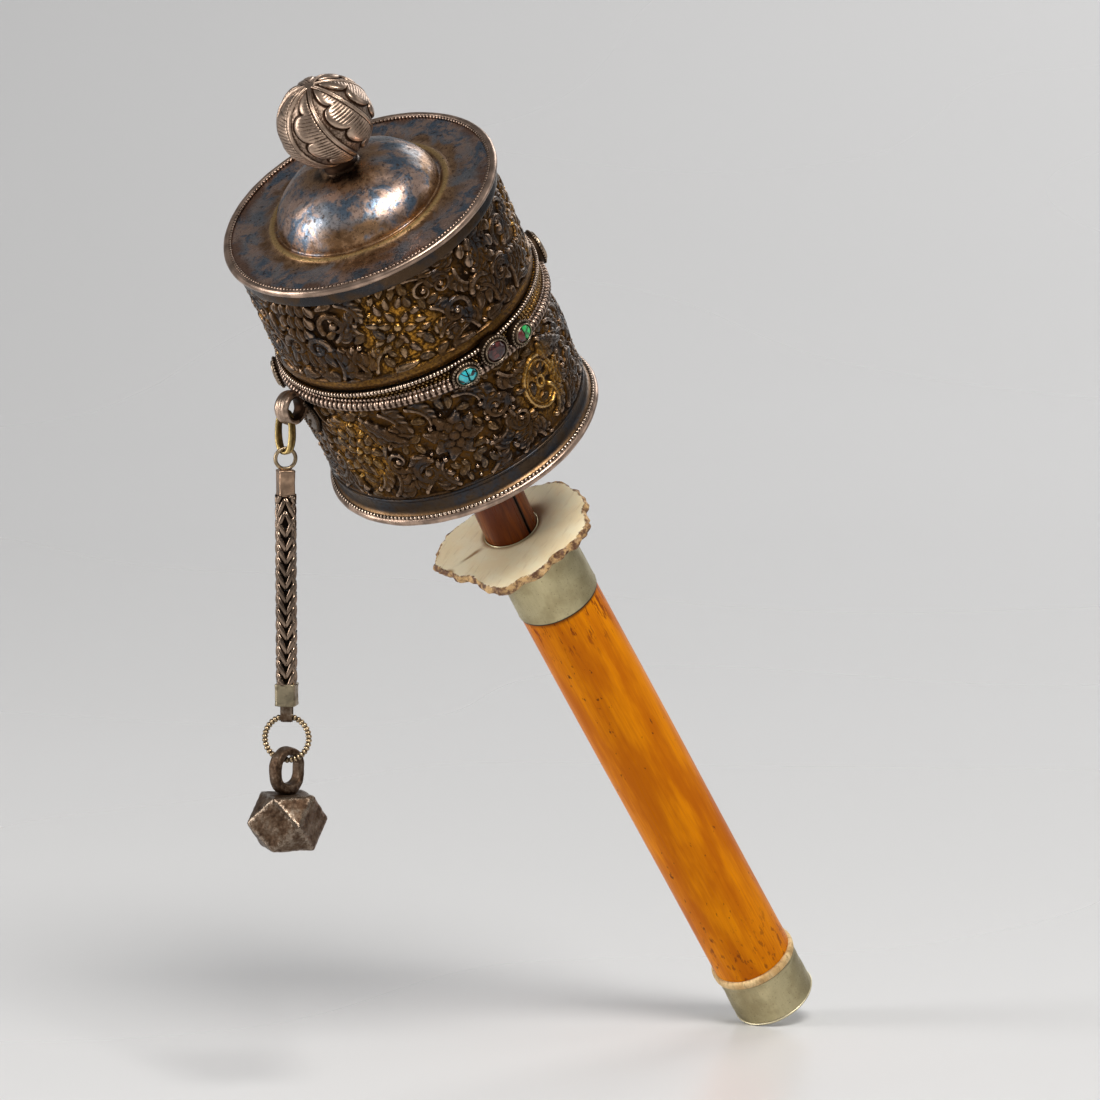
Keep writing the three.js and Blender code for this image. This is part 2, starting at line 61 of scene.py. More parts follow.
TAU = 2 * math.pi
JOINTS = {j["name"]: j for j in frame["joints"]}
MOUNTS = {m["name"]: m for m in frame["record"]["mounts"]}


def unit(v):
    v = np.asarray(v, float)
    return v / np.linalg.norm(v)


def aim(degrees):
    """Cosine and sine of an angle."""
    return math.cos(math.radians(degrees)), math.sin(math.radians(degrees))


# ---- Driving dimensions, in millimetres ---------------------------------------------------------

# The drum, in its own frame: +Z up the spindle, origin at the washer's top face.
DRUM_TOP = 100.0
DRUM_LOW = 30.0
FRONT = 226.5  # side of the drum that faces the front, in degrees
RIM_RADIUS = 33.1
RIM_WIRE = 0.9
GROUND = 31.7  # radius of the chased bands' ground
RELIEF = 1.2  # how far the chasing stands above it
BAND_COLUMNS = 1080
FINE_Z = DRUM_TOP - 30.6
ROPE_Z = DRUM_TOP - 35.4
ROPE_RISE = 1.8  # the rope wire runs aslant
ROPE_LOW_AT = 326.5
SPIN_UP = 60.0  # the spin joint's point above that origin
FINIAL_Z = DRUM_TOP + 24.3
FINIAL_RADIUS = 11.5
FINIAL_OFF = (0.75, -0.15)  # how far the ball sits to the right, and up
SETTING_BASE = 34.0
LUG_AT = FRONT - 72
LUG_STEM_END = (32.2, DRUM_TOP - 40.0)  # radius and height
LUG_LEAF = (LUG_AT, DRUM_TOP - 39.6, 32.7)  # angle, height and radius

# The handle, in its own frame: +Z up its axis, origin at the grip's centre.
GRIP_RADIUS = 10.1
GRIP_HALF = 60.9
FERRULE = 10.4
UPPER_TOP = 79.3
END_TOP = -GRIP_HALF - 2.35
END_LOW = -75.6
FOOT_LOW = -76.6

# Washer and neck, in the drum's frame. The edge is (degrees from the front, radius).
WASHER_EDGE = [
    (0, 21.6), (26, 18.9), (45, 21.0), (70, 18.3), (98, 18.9), (127, 17.7), (150, 15.8),
    (180, 14.5), (207, 14.5), (244, 18.1), (272, 21.1), (285, 19.6), (310, 18.3), (338, 23.1),
]
WASHER_SHIFT = (0.5, -0.85)
NECK_SHIFT = (0.32, -0.5)
NECK_RADIUS = 6.6
NECK_TOP = 31.4

# The chain, in its own frame: origin at the lug's eye, +Z up, -Y to the front.
CHAIN_YAW = -52.6
PIN_DROP = 2.3  # the link's joint below that origin
LUG_CENTRE = (1.35, 0.5, -0.45)
LINK_TOP, LINK_LOW = -1.25, -11.0
SMALL_RING_Z, SMALL_RING_RADIUS = -12.35, 2.42
UPPER_CAP_TOP = -14.95
CHAIN_TOP = -21.2
PITCH = 7.4  # length of one stretch of the woven chain
CHAIN_BODIES = ["chain_top", "chain_2", "chain_3", "chain_4", "chain_5", "chain_end"]
CHAIN_LOW = CHAIN_TOP - len(CHAIN_BODIES) * PITCH
WEAVE = 3.05  # one chevron of the woven chain
LOWER_CAP_LOW = -70.9
STRAP_Z = -73.5
BEADED_RING_Z, BEADED_RING_RADIUS = -78.7, 5.2
WEIGHT_EYE_Z = -86.3
WEIGHT_Z = -98.5


# ---- Frames -------------------------------------------------------------------------------------


def frame_from(x, y, z, origin):
    return np.stack([unit(x), unit(y), unit(z)], 1), np.asarray(origin, float)


def drum_frame():
    spin = JOINTS["drum_spin"]
    up = unit(spin["axis"])
    side = np.cross((0, 1, 0), up)
    return frame_from(side, (0, 1, 0), up, np.array(spin["pos_m"]) / MM - SPIN_UP * up)


def handle_frame():
    grip = MOUNTS["hand_grip"]
    up = unit(grip["axis"])
    turn = Vector((0, 0, 1)).rotation_difference(Vector(up)).to_matrix()
    return np.array(turn), np.array(grip["pos_m"]) / MM


def chain_frame():
    pin = np.array(JOINTS["link_swing"]["pos_m"]) / MM
    c, s = aim(CHAIN_YAW)
    return frame_from((c, s, 0), (-s, c, 0), (0, 0, 1), pin + (0, 0, PIN_DROP))


DRUM = drum_frame()
HANDLE = handle_frame()
CHAIN = chain_frame()
ON_DRUM = (DRUM, "drum")  # frame and body
ON_HANDLE = (HANDLE, "handle")


# ---- Camera -------------------------------------------------------------------------------------

VIEW_RIGHT = unit((0.6076, -0.7943, 0))
VIEW_BACK = unit((-0.7866, -0.6017, 0.1392))
VIEW_UP = np.cross(VIEW_BACK, VIEW_RIGHT)
CAMERA_FROM_RIM = (44.253, -80.453, 1673.83)  # from the drum's top, along right, up and back
LENS = 235.6


def make_camera():
    data = bpy.data.cameras.new("camera")
    camera = bpy.data.objects.new("camera", data)
    bpy.context.scene.collection.objects.link(camera)
    rim = DRUM[1] + DRUM[0][:, 2] * DRUM_TOP
    right, up, back = CAMERA_FROM_RIM
    place = rim + right * VIEW_RIGHT + up * VIEW_UP + back * VIEW_BACK
    matrix = np.eye(4)
    matrix[:3, :3] = np.stack([VIEW_RIGHT, VIEW_UP, VIEW_BACK], 1)
    matrix[:3, 3] = place * MM
    camera.matrix_world = Matrix(matrix.tolist())
    data.lens = LENS
    data.sensor_width = 36
    data.clip_start, data.clip_end = 0.05, 50
    bpy.context.scene.camera = camera


make_camera()


# ---- Shapes -------------------------------------------------------------------------------------


def signed_volume(points, faces):
    total = 0.0
    for f in faces:
        for i in range(1, f.shape[1] - 1):
            side = np.cross(points[f[:, i]], points[f[:, i + 1]])
            total += np.einsum("ij,ij->", points[f[:, 0]], side)
    return total


class Shape:
    """Closed mesh: points, faces as integer arrays of equal-sided rows, and marks by point."""

    def __init__(self, points, faces, **marks):
        self.points = np.asarray(points, float).reshape(-1, 3)
        self.faces = [np.asarray(f, int) for f in faces]
        self.marks = {k: np.asarray(v, float).ravel() for k, v in marks.items()}
        if signed_volume(self.points - self.points.mean(0), self.faces) < 0:
            self.faces = [f[:, ::-1] for f in self.faces]

    def moved(self, rotation=None, shift=(0, 0, 0)):
        if rotation is not None:
            self.points = self.points @ np.asarray(rotation).T
        self.points = self.points + np.asarray(shift, float)
        return self

    def marked(self, **marks):
        for name, value in marks.items():
            self.marks[name] = np.full(len(self.points), value)
        return self


def merged(shapes):
    names = {n for s in shapes for n in s.marks}
    offset, faces = 0, []
    for s in shapes:
        faces += [f + offset for f in s.faces]
        offset += len(s.points)
    marks = {
        n: np.concatenate([s.marks.get(n, np.zeros(len(s.points))) for s in shapes])
        for n in names
    }
    whole = Shape.__new__(Shape)
    whole.points = np.concatenate([s.points for s in shapes])
    whole.faces = faces
    whole.marks = marks
    return whole


def loft(rings, closed=False, **marks):
    """Joins rings of points, an array of shape (rings, points, 3); closed joins last to first."""
    n, m, _ = rings.shape
    index = np.arange(n * m).reshape(n, m)
    a = index if closed else index[:-1]
    b = np.roll(index, -1, 0) if closed else index[1:]
    quads = np.stack([a, np.roll(a, -1, 1), np.roll(b, -1, 1), b], -1).reshape(-1, 4)
    faces = [quads]
    if not closed:
        faces += [index[:1, ::-1], index[-1:]]
    return Shape(rings.reshape(-1, 3), faces, **marks)


def full_turn(count):
    return np.arange(count) * TAU / count


def round_z(radius, angle, z):
    """Points at a distance from Z, an angle round it and a height."""
    return np.stack(np.broadcast_arrays(radius * np.cos(angle), radius * np.sin(angle), z), -1)


def at_height(xy, z):
    return np.column_stack([xy, np.full(len(xy), z)])


def turned(profile, sides, closed=False, swell=None):
    """Turns a profile of (radius, z) about Z. A closed profile makes a ring."""
    radius, z = np.asarray(profile, float).T[..., None]
    angle = full_turn(sides)
    if swell is not None:
        radius = radius + swell(angle, z)
    return loft(round_z(radius, angle, z), closed)


def softened(points, times=2, closed=False):
    """Cuts the corners of a line of points, time after time."""
    points = np.asarray(points, float)
    for _ in range(times):
        after = np.roll(points, -1, 0)
        pairs = np.stack([0.75 * points + 0.25 * after, 0.25 * points + 0.75 * after], 1)
        if closed:
            points = pairs.reshape(-1, points.shape[1])
        else:
            inner = pairs[:-1].reshape(-1, points.shape[1])
            points = np.concatenate([points[:1], inner[1:-1], points[-1:]])
    return points


def circle(count, radius=1.0, start=0.0):
    angle = start + full_turn(count)
    return radius * np.stack([np.cos(angle), np.sin(angle)], 1)


def rounded_box(width, height, power=5.0, count=24):
    """Section of a bar with rounded corners."""
    angle = (np.arange(count) + 0.5) * TAU / count
    c, s = np.cos(angle), np.sin(angle)
    scale = (np.abs(c) ** power + np.abs(s) ** power) ** (-1 / power)
    return np.stack([c * scale * width / 2, s * scale * height / 2], 1)


def swept(path, section, normal, closed=False, scale=1.0, **marks):
    """Sweeps a section along a path. The section's second axis stays near the normal."""
    path = np.asarray(path, float)
    if closed:
        tangent = np.roll(path, -1, 0) - np.roll(path, 1, 0)
    else:
        tangent = np.gradient(path, axis=0)
    tangent /= np.linalg.norm(tangent, axis=1, keepdims=True)
    across = np.cross(tangent, np.broadcast_to(normal, path.shape))
    across /= np.linalg.norm(across, axis=1, keepdims=True)
    up = np.cross(across, tangent)
    size = np.broadcast_to(np.asarray(scale, float).reshape(-1, 1), (len(path), 1))[..., None]
    section = np.asarray(section, float)
    if section.ndim == 2:
        section = section[None]
    rings = path[:, None] + size * (
        section[..., :1] * across[:, None] + section[..., 1:] * up[:, None]
    )
    return loft(rings, closed, **marks)


def ripple(points, wavelength, seed, terms=12):
    """Smooth seeded unevenness, mostly from -1 to 1."""
    draw = np.random.default_rng(seed)
    waves = draw.normal(size=(terms, 3))
    waves /= np.linalg.norm(waves, axis=1, keepdims=True)
    waves *= TAU / wavelength * draw.uniform(0.6, 1.6, (terms, 1))
    phase = draw.uniform(0, TAU, terms)
    return np.sin(points @ waves.T + phase).sum(-1) * math.sqrt(2 / terms) * 0.5


def wobble(points, wavelength, seed):
    """Unevenness along all three axes."""
    return np.stack([ripple(points, wavelength, seed + k) for k in range(3)], -1)


def turn_z(degrees):
    c, s = aim(degrees)
    return np.array([[c, -s, 0], [s, c, 0], [0, 0, 1]])


def smoothstep(low, high, x):
    t = np.clip((x - low) / (high - low), 0, 1)
    return t * t * (3 - 2 * t)


def put(place, body, name, shape, material, slot, *nodes, sharp=None):
    """Makes the piece, in metres, and lets it ride on its body in place of the CAD nodes."""
    rotation, origin = place
    world = (shape.points @ rotation.T + origin) * MM
    mesh = bpy.data.meshes.new(name)
    mesh.vertices.add(len(world))
    mesh.vertices.foreach_set("co", world.ravel())
    corners = np.concatenate([f.ravel() for f in shape.faces]).astype(np.int32)
    sizes = np.concatenate([np.full(len(f), f.shape[1]) for f in shape.faces])
    starts = (np.cumsum(sizes) - sizes).astype(np.int32)
    mesh.loops.add(len(corners))
    mesh.loops.foreach_set("vertex_index", corners)
    mesh.polygons.add(len(sizes))
    mesh.polygons.foreach_set("loop_start", starts)
    mesh.update(calc_edges=True)
    mesh.polygons.foreach_set("use_smooth", np.ones(len(sizes), bool))
    local = mesh.attributes.new("local", "FLOAT_VECTOR", "POINT")
    local.data.foreach_set("vector", shape.points.astype(np.float32).ravel())
    for mark, values in shape.marks.items():
        attribute = mesh.attributes.new(mark, "FLOAT", "POINT")
        attribute.data.foreach_set("value", values.astype(np.float32))
    if sharp:
        mesh.set_sharp_from_angle(angle=math.radians(sharp))
    mesh.materials.append(material)
    obj = bpy.data.objects.new(name, mesh)
    bpy.context.scene.collection.objects.link(obj)
    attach(obj, body)
    if nodes:
        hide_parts(*nodes)
    return obj


# ---- Materials ----------------------------------------------------------------------------------


class Paint:
    """A material's node tree, built up by short calls. Its unit of length is the millimetre."""

    def __init__(self, name, metallic=0.0, **uniform):
        self.material = bpy.data.materials.new(name)
        self.material.use_nodes = True
        self.tree = self.material.node_tree
        self.tree.nodes.clear()
        output = self.tree.nodes.new("ShaderNodeOutputMaterial")
        self.shader = self.tree.nodes.new("ShaderNodeBsdfPrincipled")
        self.tree.links.new(self.shader.outputs[0], output.inputs[0])
        self.shader.inputs["Metallic"].default_value = metallic
        for socket, value in uniform.items():
            self.shader.inputs[socket.replace("_", " ")].default_value = value

    def feed(self, socket, value):
        if isinstance(value, bpy.types.NodeSocket):
            self.tree.links.new(value, socket)
        elif isinstance(value, tuple) and len(value) == 3 and socket.type == "RGBA":
            socket.default_value = (*value, 1)
        else:
            socket.default_value = value

    def place(self, stretch=(1, 1, 1)):
        """The point in the piece's own frame, in millimetres."""
        source = self.tree.nodes.new("ShaderNodeAttribute")
        source.attribute_name = "local"
        node = self.tree.nodes.new("ShaderNodeMapping")
        node.inputs["Scale"].default_value = stretch
        self.tree.links.new(source.outputs["Vector"], node.inputs["Vector"])
        return node.outputs[0]

    def cad_place(self, stretch=(1, 1, 1)):
        """The same for a CAD node, in the row's frame."""
        source = self.tree.nodes.new("ShaderNodeTexCoord")
        node = self.tree.nodes.new("ShaderNodeMapping")
        node.inputs["Scale"].default_value = tuple(s / MM for s in stretch)
        self.tree.links.new(source.outputs["Object"], node.inputs["Vector"])
        return node.outputs[0]

    def mark(self, name):
        node = self.tree.nodes.new("ShaderNodeAttribute")
        node.attribute_name = name
        return node.outputs["Fac"]

    def noise(self, place, size, detail=4.0, rough=0.55, warp=0.0):
        """Noise from about 0.3 to 0.7, with features of that size in millimetres."""
        node = self.tree.nodes.new("ShaderNodeTexNoise")
        self.feed(node.inputs["Vector"], place)
        node.inputs["Scale"].default_value = 1 / size
        node.inputs["Detail"].default_value = detail
        node.inputs["Roughness"].default_value = rough
        node.inputs["Distortion"].default_value = warp
        return node.outputs[0]

    def cells(self, place, size, feature="F1"):
        node = self.tree.nodes.new("ShaderNodeTexVoronoi")
        node.feature = feature
        self.feed(node.inputs["Vector"], place)
        node.inputs["Scale"].default_value = 1 / size
        return node.outputs["Distance"]

    def math(self, operation, a, b=0.0):
        node = self.tree.nodes.new("ShaderNodeMath")
        node.operation = operation
        self.feed(node.inputs[0], a)
        self.feed(node.inputs[1], b)
        return node.outputs[0]

    def span(self, value, low, high, to_low=0.0, to_high=1.0):
        node = self.tree.nodes.new("ShaderNodeMapRange")
        node.interpolation_type = "SMOOTHSTEP"
        self.feed(node.inputs["Value"], value)
        node.inputs["From Min"].default_value = low
        node.inputs["From Max"].default_value = high
        node.inputs["To Min"].default_value = to_low
        node.inputs["To Max"].default_value = to_high
        return node.outputs[0]

    def ramp(self, value, *stops):
        """Stops are (position, colour)."""
        node = self.tree.nodes.new("ShaderNodeValToRGB")
        elements = node.color_ramp.elements
        while len(elements) < len(stops):
            elements.new(0.5)
        for element, (position, colour) in zip(elements, stops):
            element.position = position
            element.color = (*colour, 1)
        self.feed(node.inputs[0], value)
        return node.outputs[0]

    def mix(self, share, a, b):
        node = self.tree.nodes.new("ShaderNodeMix")
        node.data_type = "RGBA"
        self.feed(node.inputs[0], share)
        self.feed(node.inputs[6], a)
        self.feed(node.inputs[7], b)
        return node.outputs[2]

    def both(self, a, b):
        return self.math("MULTIPLY", a, b)

    def over(self, tone, *coats):
        """Lays coats of (value, low, high, colour) over a tone. A fifth number is the most that
        a coat covers."""
        for value, low, high, colour, *most in coats:
            tone = self.mix(self.span(value, low, high, 0.0, *most), tone, colour)
        return tone

    def radius(self):
        """Distance from the piece's own Z axis, and height along it."""
        node = self.tree.nodes.new("ShaderNodeSeparateXYZ")
        self.tree.links.new(self.place(), node.inputs[0])
        x, y, z = node.outputs
        return self.math("SQRT", self.math("ADD", self.both(x, x), self.both(y, y))), z

    def bump(self, height, depth, strength=1.0, under=None):
        """Depth is in millimetres for a height from 0 to 1."""
        node = self.tree.nodes.new("ShaderNodeBump")
        node.inputs["Strength"].default_value = strength
        node.inputs["Distance"].default_value = depth * MM
        self.feed(node.inputs["Height"], height)
        if under is not None:
            self.feed(node.inputs["Normal"], under)
        return node.outputs[0]

    def finish(self, colour, roughness, normal=None):
        self.feed(self.shader.inputs["Base Color"], colour)
        self.feed(self.shader.inputs["Roughness"], roughness)
        if normal is not None:
            self.feed(self.shader.inputs["Normal"], normal)
        return self.material


def paint_chased():
    """Dark chased silver: rubbed on the high places, brown in the low ones, gilded in patches."""
    p = Paint("chased_silver", 0.95)
    where = p.place()
    broad = p.noise(where, 8.0, 3)
    other = p.noise(where, 5.0, 4, 0.6, 0.5)
    fine = p.noise(where, 0.6, 5, 0.65)
    worn = p.math("ADD", p.mark("hollow"), p.span(fine, 0.3, 0.7, -0.14, 0.14))
    warm = p.over((0.070, 0.036, 0.015), (other, 0.4, 0.6, (0.044, 0.024, 0.011)))
    cool = p.over((0.028, 0.026, 0.027), (other, 0.44, 0.58, (0.052, 0.032, 0.019)))
    ground = p.over((0.016, 0.007, 0.002), (other, 0.42, 0.6, (0.080, 0.034, 0.005)))
    body = p.over(ground, (worn, -0.30, 0.05, p.over(warm, (broad, 0.47, 0.62, cool))),
                  (worn, 0.40, 1.0, (0.36, 0.24, 0.16), 0.75))
    gold = p.over((0.15, 0.060, 0.006), (fine, 0.35, 0.65, (0.40, 0.19, 0.025)),
                  (worn, 0.15, 0.7, (0.52, 0.31, 0.09)))
    gold = p.over((0.035, 0.016, 0.003), (worn, -0.6, -0.1, gold))
    share = p.both(p.mark("gilt"), p.span(fine, 0.34, 0.56, 0.30, 1.0))
    rough = p.span(worn, -0.3, 0.4, 0.48, 0.24)
    return p.finish(p.mix(share, body, gold), rough, p.bump(fine, 0.10, 0.6))


def paint_silver(name, high, low, grime=0.5, smooth=0.3):
    """Warm rubbed silver that is dark where the hollow mark is low."""
    p = Paint(name, 0.95)
    where = p.place()
    broad = p.noise(where, 4.0, 4)
    fine = p.noise(where, 0.5, 4, 0.6)
    level = p.math("ADD", p.mark("hollow"), p.span(fine, 0.3, 0.7, -0.12, 0.12))
    colour = p.over(tuple(0.55 * h for h in high), (broad, 0.38, 0.62, high))
    colour = p.over(low, (level, -grime, 0.1, colour))
    rough = p.span(level, -0.5, 0.4, smooth + 0.25, smooth)
    return p.finish(colour, rough, p.bump(fine, 0.05, 0.5))


def paint_lid():
    """Silver tarnished blue, grey-pink and bronze by turns from the neck to the rim. Painted shade round the neck.
    """
    p = Paint("tarnished_lid", 0.95)
    where = p.place()
    radius, height = p.radius()
    broad = p.noise(where, 9.0, 4, 0.55, 0.6)
    patch = p.noise(where, 5.0, 6, 0.68, 0.5)
    fine = p.noise(where, 1.1, 7, 0.72)
    r = p.math("ADD", radius, p.span(broad, 0.3, 0.7, -2.4, 2.4))
    pink, blue, bronze = (0.36, 0.25, 0.20), (0.105, 0.140, 0.185), (0.31, 0.18, 0.095)
    grey = p.over(pink, (patch, 0.45, 0.57, blue), (broad, 0.50, 0.62, (0.23, 0.23, 0.24), 0.8))
    tone = p.over(bronze, (r, 6.8, 11.0, grey))
    # Painted shade: near black round the neck, where the finial ball shades the dome.
    tone = p.over((0.024, 0.013, 0.007), (r, 4.4, 7.2, tone))
    step = p.both(p.span(r, 18.6, 20.6), p.span(r, 27.0, 23.5))
    tone = p.mix(step, tone, p.over((0.16, 0.085, 0.04), (patch, 0.42, 0.56, bronze)))
    ring = p.both(p.span(radius, 20.6, 21.2), p.span(radius, 22.6, 21.9))
    tone = p.mix(p.both(ring, 0.85), tone, (0.50, 0.32, 0.13))
    tone = p.over(tone, (r, 30.0, 32.4, (0.20, 0.115, 0.08)))
    spots = p.both(p.span(fine, 0.53, 0.64), p.span(patch, 0.40, 0.58, 0.35, 1.0))
    tone = p.mix(spots, tone, (0.035, 0.018, 0.010))
    edge = p.over((0.060, 0.036, 0.020), (broad, 0.42, 0.58, (0.030, 0.029, 0.031)))
    tone = p.over(tone, (height, DRUM_TOP - 0.6, DRUM_TOP - 1.1, edge))
    rough = p.span(fine, 0.35, 0.7, 0.23, 0.5)
    return p.finish(tone, rough, p.bump(fine, 0.08, 0.4, p.bump(patch, 0.5, 0.2)))


def paint_skirt():
    """The drum's base: dark, grey-blue and brown, with a brassy flare."""
    p = Paint("drum_edge", 0.95)
    where = p.place()
    _, height = p.radius()
    patch = p.noise(where, 6.0, 5, 0.6)
    fine = p.noise(where, 0.8, 5, 0.65)
    tone = p.over((0.055, 0.036, 0.022), (patch, 0.4, 0.6, (0.034, 0.035, 0.040)),
                  (fine, 0.52, 0.68, (0.04, 0.024, 0.014)))
    flare = p.both(p.span(height, 33.1, 32.3), p.span(fine, 0.3, 0.5, 0.5, 1.0))
    tone = p.mix(flare, tone, (0.16, 0.09, 0.042))
    return p.finish(tone, p.span(fine, 0.3, 0.7, 0.28, 0.5), p.bump(patch, 0.25, 0.35))


def paint_nickel():
    """Drawn nickel silver: dark in the hollows, bright where solder shows and as a painted glint on the neck
    collar.
    """
    p = Paint("nickel_silver", 0.9)
    where = p.place()
    broad = p.noise(where, 9.0, 4)
    fine = p.noise(where, 0.45, 4, 0.7)
    drawn = p.noise(p.place((1, 1, 0.12)), 0.6, 3)
    hollow = p.mark("hollow")
    tone = p.over((0.36, 0.30, 0.165), (broad, 0.38, 0.62, (0.48, 0.415, 0.245)),
                  (drawn, 0.4, 0.7, (0.25, 0.21, 0.125), 0.15),
                  (fine, 0.62, 0.70, (0.09, 0.075, 0.045)),
                  (hollow, 0.0, -0.7, (0.04, 0.028, 0.016)),
                  (hollow, 0.3, 0.9, (0.74, 0.66, 0.45)))
    rough = p.span(fine, 0.4, 0.7, 0.36, 0.55)
    return p.finish(tone, rough, p.bump(fine, 0.04, 0.5, p.bump(broad, 0.4, 0.25)))


def paint_brass(name, high, low):
    p = Paint(name, 0.95)
    where = p.place()
    broad = p.noise(where, 2.6, 4, 0.6)
    fine = p.noise(where, 0.35, 4, 0.6)
    tone = p.over(high, (broad, 0.4, 0.62, tuple(0.5 * h for h in high)),
                  (p.mark("hollow"), 0.1, -0.6, low), (fine, 0.6, 0.72, low))
    return p.finish(tone, p.span(fine, 0.3, 0.7, 0.26, 0.42), p.bump(fine, 0.03, 0.5))


def paint_iron():
    """Rusted iron, rubbed bright where the edge mark is high."""
    p = Paint("iron", 0.85)
    where = p.place()
    broad = p.noise(where, 4.0, 5, 0.65)
    fine = p.noise(where, 0.8, 6, 0.7)
    tone = p.ramp(
        p.math("ADD", p.both(broad, 0.55), p.both(fine, 0.45)),
        (0.38, (0.024, 0.012, 0.006)),
        (0.46, (0.062, 0.033, 0.017)),
        (0.54, (0.105, 0.068, 0.043)),
        (0.66, (0.21, 0.165, 0.125)),
    )
    edge = p.math("ADD", p.mark("edge"), p.span(fine, 0.35, 0.65, -0.35, 0.25))
    tone = p.over(tone, (edge, 0.3, 1.3, (0.30, 0.24, 0.185), 0.6))
    rough = p.span(edge, 0.2, 1.0, 0.52, 0.27)
    return p.finish(tone, rough, p.bump(fine, 0.14, 0.6, p.bump(broad, 0.5, 0.4)))


def paint_bamboo():
    """Amber cane: long fibres, dark flecks, and streaks near its ends."""
    p = Paint("bamboo", 0.0, Specular_IOR_Level=0.06)
    _, height = p.radius()
    broad = p.noise(p.place((1, 1, 0.2)), 7.0, 4, 0.6)
    fibre = p.noise(p.place((1, 1, 0.03)), 0.55, 4, 0.6)
    fleck = p.noise(p.place((1, 1, 0.42)), 1.2, 3, 0.6)
    rare = p.noise(p.place((1, 1, 0.5)), 6.0, 2)
    streak = p.noise(p.place((1, 1, 0.16)), 1.3, 4, 0.7)
    tone = p.over((0.49, 0.125, 0.0), (broad, 0.36, 0.64, (0.72, 0.232, 0.0)),
                  (fibre, 0.35, 0.7, (0.37, 0.068, 0.0), 0.35))
    spots = p.both(p.span(fleck, 0.655, 0.69), p.span(rare, 0.50, 0.57))
    top = p.both(p.span(height, 42.0, 57.0), p.span(streak, 0.53, 0.61))
    low = p.both(p.span(height, -38.0, -56.0), p.span(fleck, 0.57, 0.64))
    for share, most, colour in [(spots, 0.85, (0.09, 0.018, 0.002)),
                                (top, 0.85, (0.17, 0.022, 0.002)),
                                (low, 0.7, (0.20, 0.045, 0.003))]:
        tone = p.mix(p.both(share, most), tone, colour)
    tone = p.over(tone, (height, 59.4, 61.2, (0.10, 0.02, 0.003)))
    rough = p.span(fibre, 0.3, 0.7, 0.26, 0.36)
    return p.finish(tone, rough, p.bump(fibre, 0.05, 0.35, p.bump(broad, 0.3, 0.3)))


def paint_antler():
    """Cream antler with brown streaks, stains and painted shadow, and a scorched knobbly edge."""
    p = Paint("antler", 0.0, IOR=1.5, Subsurface_Weight=0.12)
    p.shader.inputs["Subsurface Radius"].default_value = (0.002, 0.0014, 0.0008)
    where = p.place()
    broad = p.noise(where, 9.0, 4, 0.55)
    streak = p.noise(p.place((0.18, 1, 1)), 1.2, 4, 0.6)
    fine = p.noise(where, 0.9, 5, 0.65)
    knobs = p.noise(where, 2.2, 4, 0.6)
    worn = p.math("ADD", p.mark("edge"), p.span(fine, 0.3, 0.7, -0.3, 0.3))
    burnt = p.over((0.13, 0.052, 0.018), (knobs, 0.40, 0.60, (0.58, 0.36, 0.15)),
                   (fine, 0.52, 0.66, (0.10, 0.038, 0.012), 0.8))
    tone = p.over((0.95, 0.78, 0.50), (broad, 0.38, 0.62, (0.98, 0.86, 0.60)),
                  (streak, 0.52, 0.74, (0.60, 0.43, 0.22), 0.35),
                  # This mark is partly a real spot and partly painted shade in the crack and painted shadow round
                  # the bore.
                  (p.mark("stain"), 0.15, 1.0, (0.33, 0.17, 0.055)),
                  (worn, 0.35, 0.75, burnt))
    return p.finish(tone, p.span(worn, 0.2, 0.8, 0.32, 0.6), p.bump(fine, 0.12, 0.35))


def paint_wood(name, dark, light, rough, stretch, coat=0.0):
    """Long-grained wood, darker where the hollow mark is low."""
    p = Paint(name, 0.0, Specular_IOR_Level=0.2, Coat_Weight=coat, Coat_Roughness=0.15)
    grain = p.noise(p.place(stretch), 0.9, 5, 0.65, 0.3)
    broad = p.noise(p.place(stretch), 4.5, 3)
    tone = p.over(dark, (broad, 0.35, 0.65, light),
                  (grain, 0.42, 0.7, tuple(0.45 * d for d in dark), 0.7),
                  (p.mark("hollow"), 0.0, -0.8, tuple(0.1 * d for d in dark)))
    return p.finish(tone, p.span(grain, 0.3, 0.7, rough, rough + 0.15), p.bump(grain, 0.08, 0.5))


def paint_stone(name, body, other, vein, size, low, high, clear=0.0):
    """A polished stone, clouded in patches and veined along cracks."""
    p = Paint(name, 0.0, IOR=1.5, Coat_Weight=0.25, Coat_Roughness=0.06, Subsurface_Weight=clear)
    p.shader.inputs["Subsurface Radius"].default_value = (0.0006, 0.0006, 0.0006)
    where = p.place()
    patch = p.noise(where, size, 3, 0.5)
    crack = p.cells(where, size * 1.3, "DISTANCE_TO_EDGE")
    tone = p.over(body, (patch, low, high, other), (crack, 0.10, 0.03, vein))
    return p.finish(tone, p.span(patch, 0.3, 0.7, 0.12, 0.25), p.bump(patch, 0.1, 0.2))


def paint_hidden(name, one, two, size, rough, metallic=0.0):
    """For the pieces inside the drum and handle, which keep their CAD shape."""
    p = Paint(name, metallic)
    grain = p.noise(p.cad_place((1, 1, 0.3)), size, 5, 0.6)
    tone = p.over(one, (grain, 0.35, 0.65, two))
    return p.finish(tone, p.span(grain, 0.3, 0.7, rough, rough + 0.15), p.bump(grain, 0.1, 0.5))


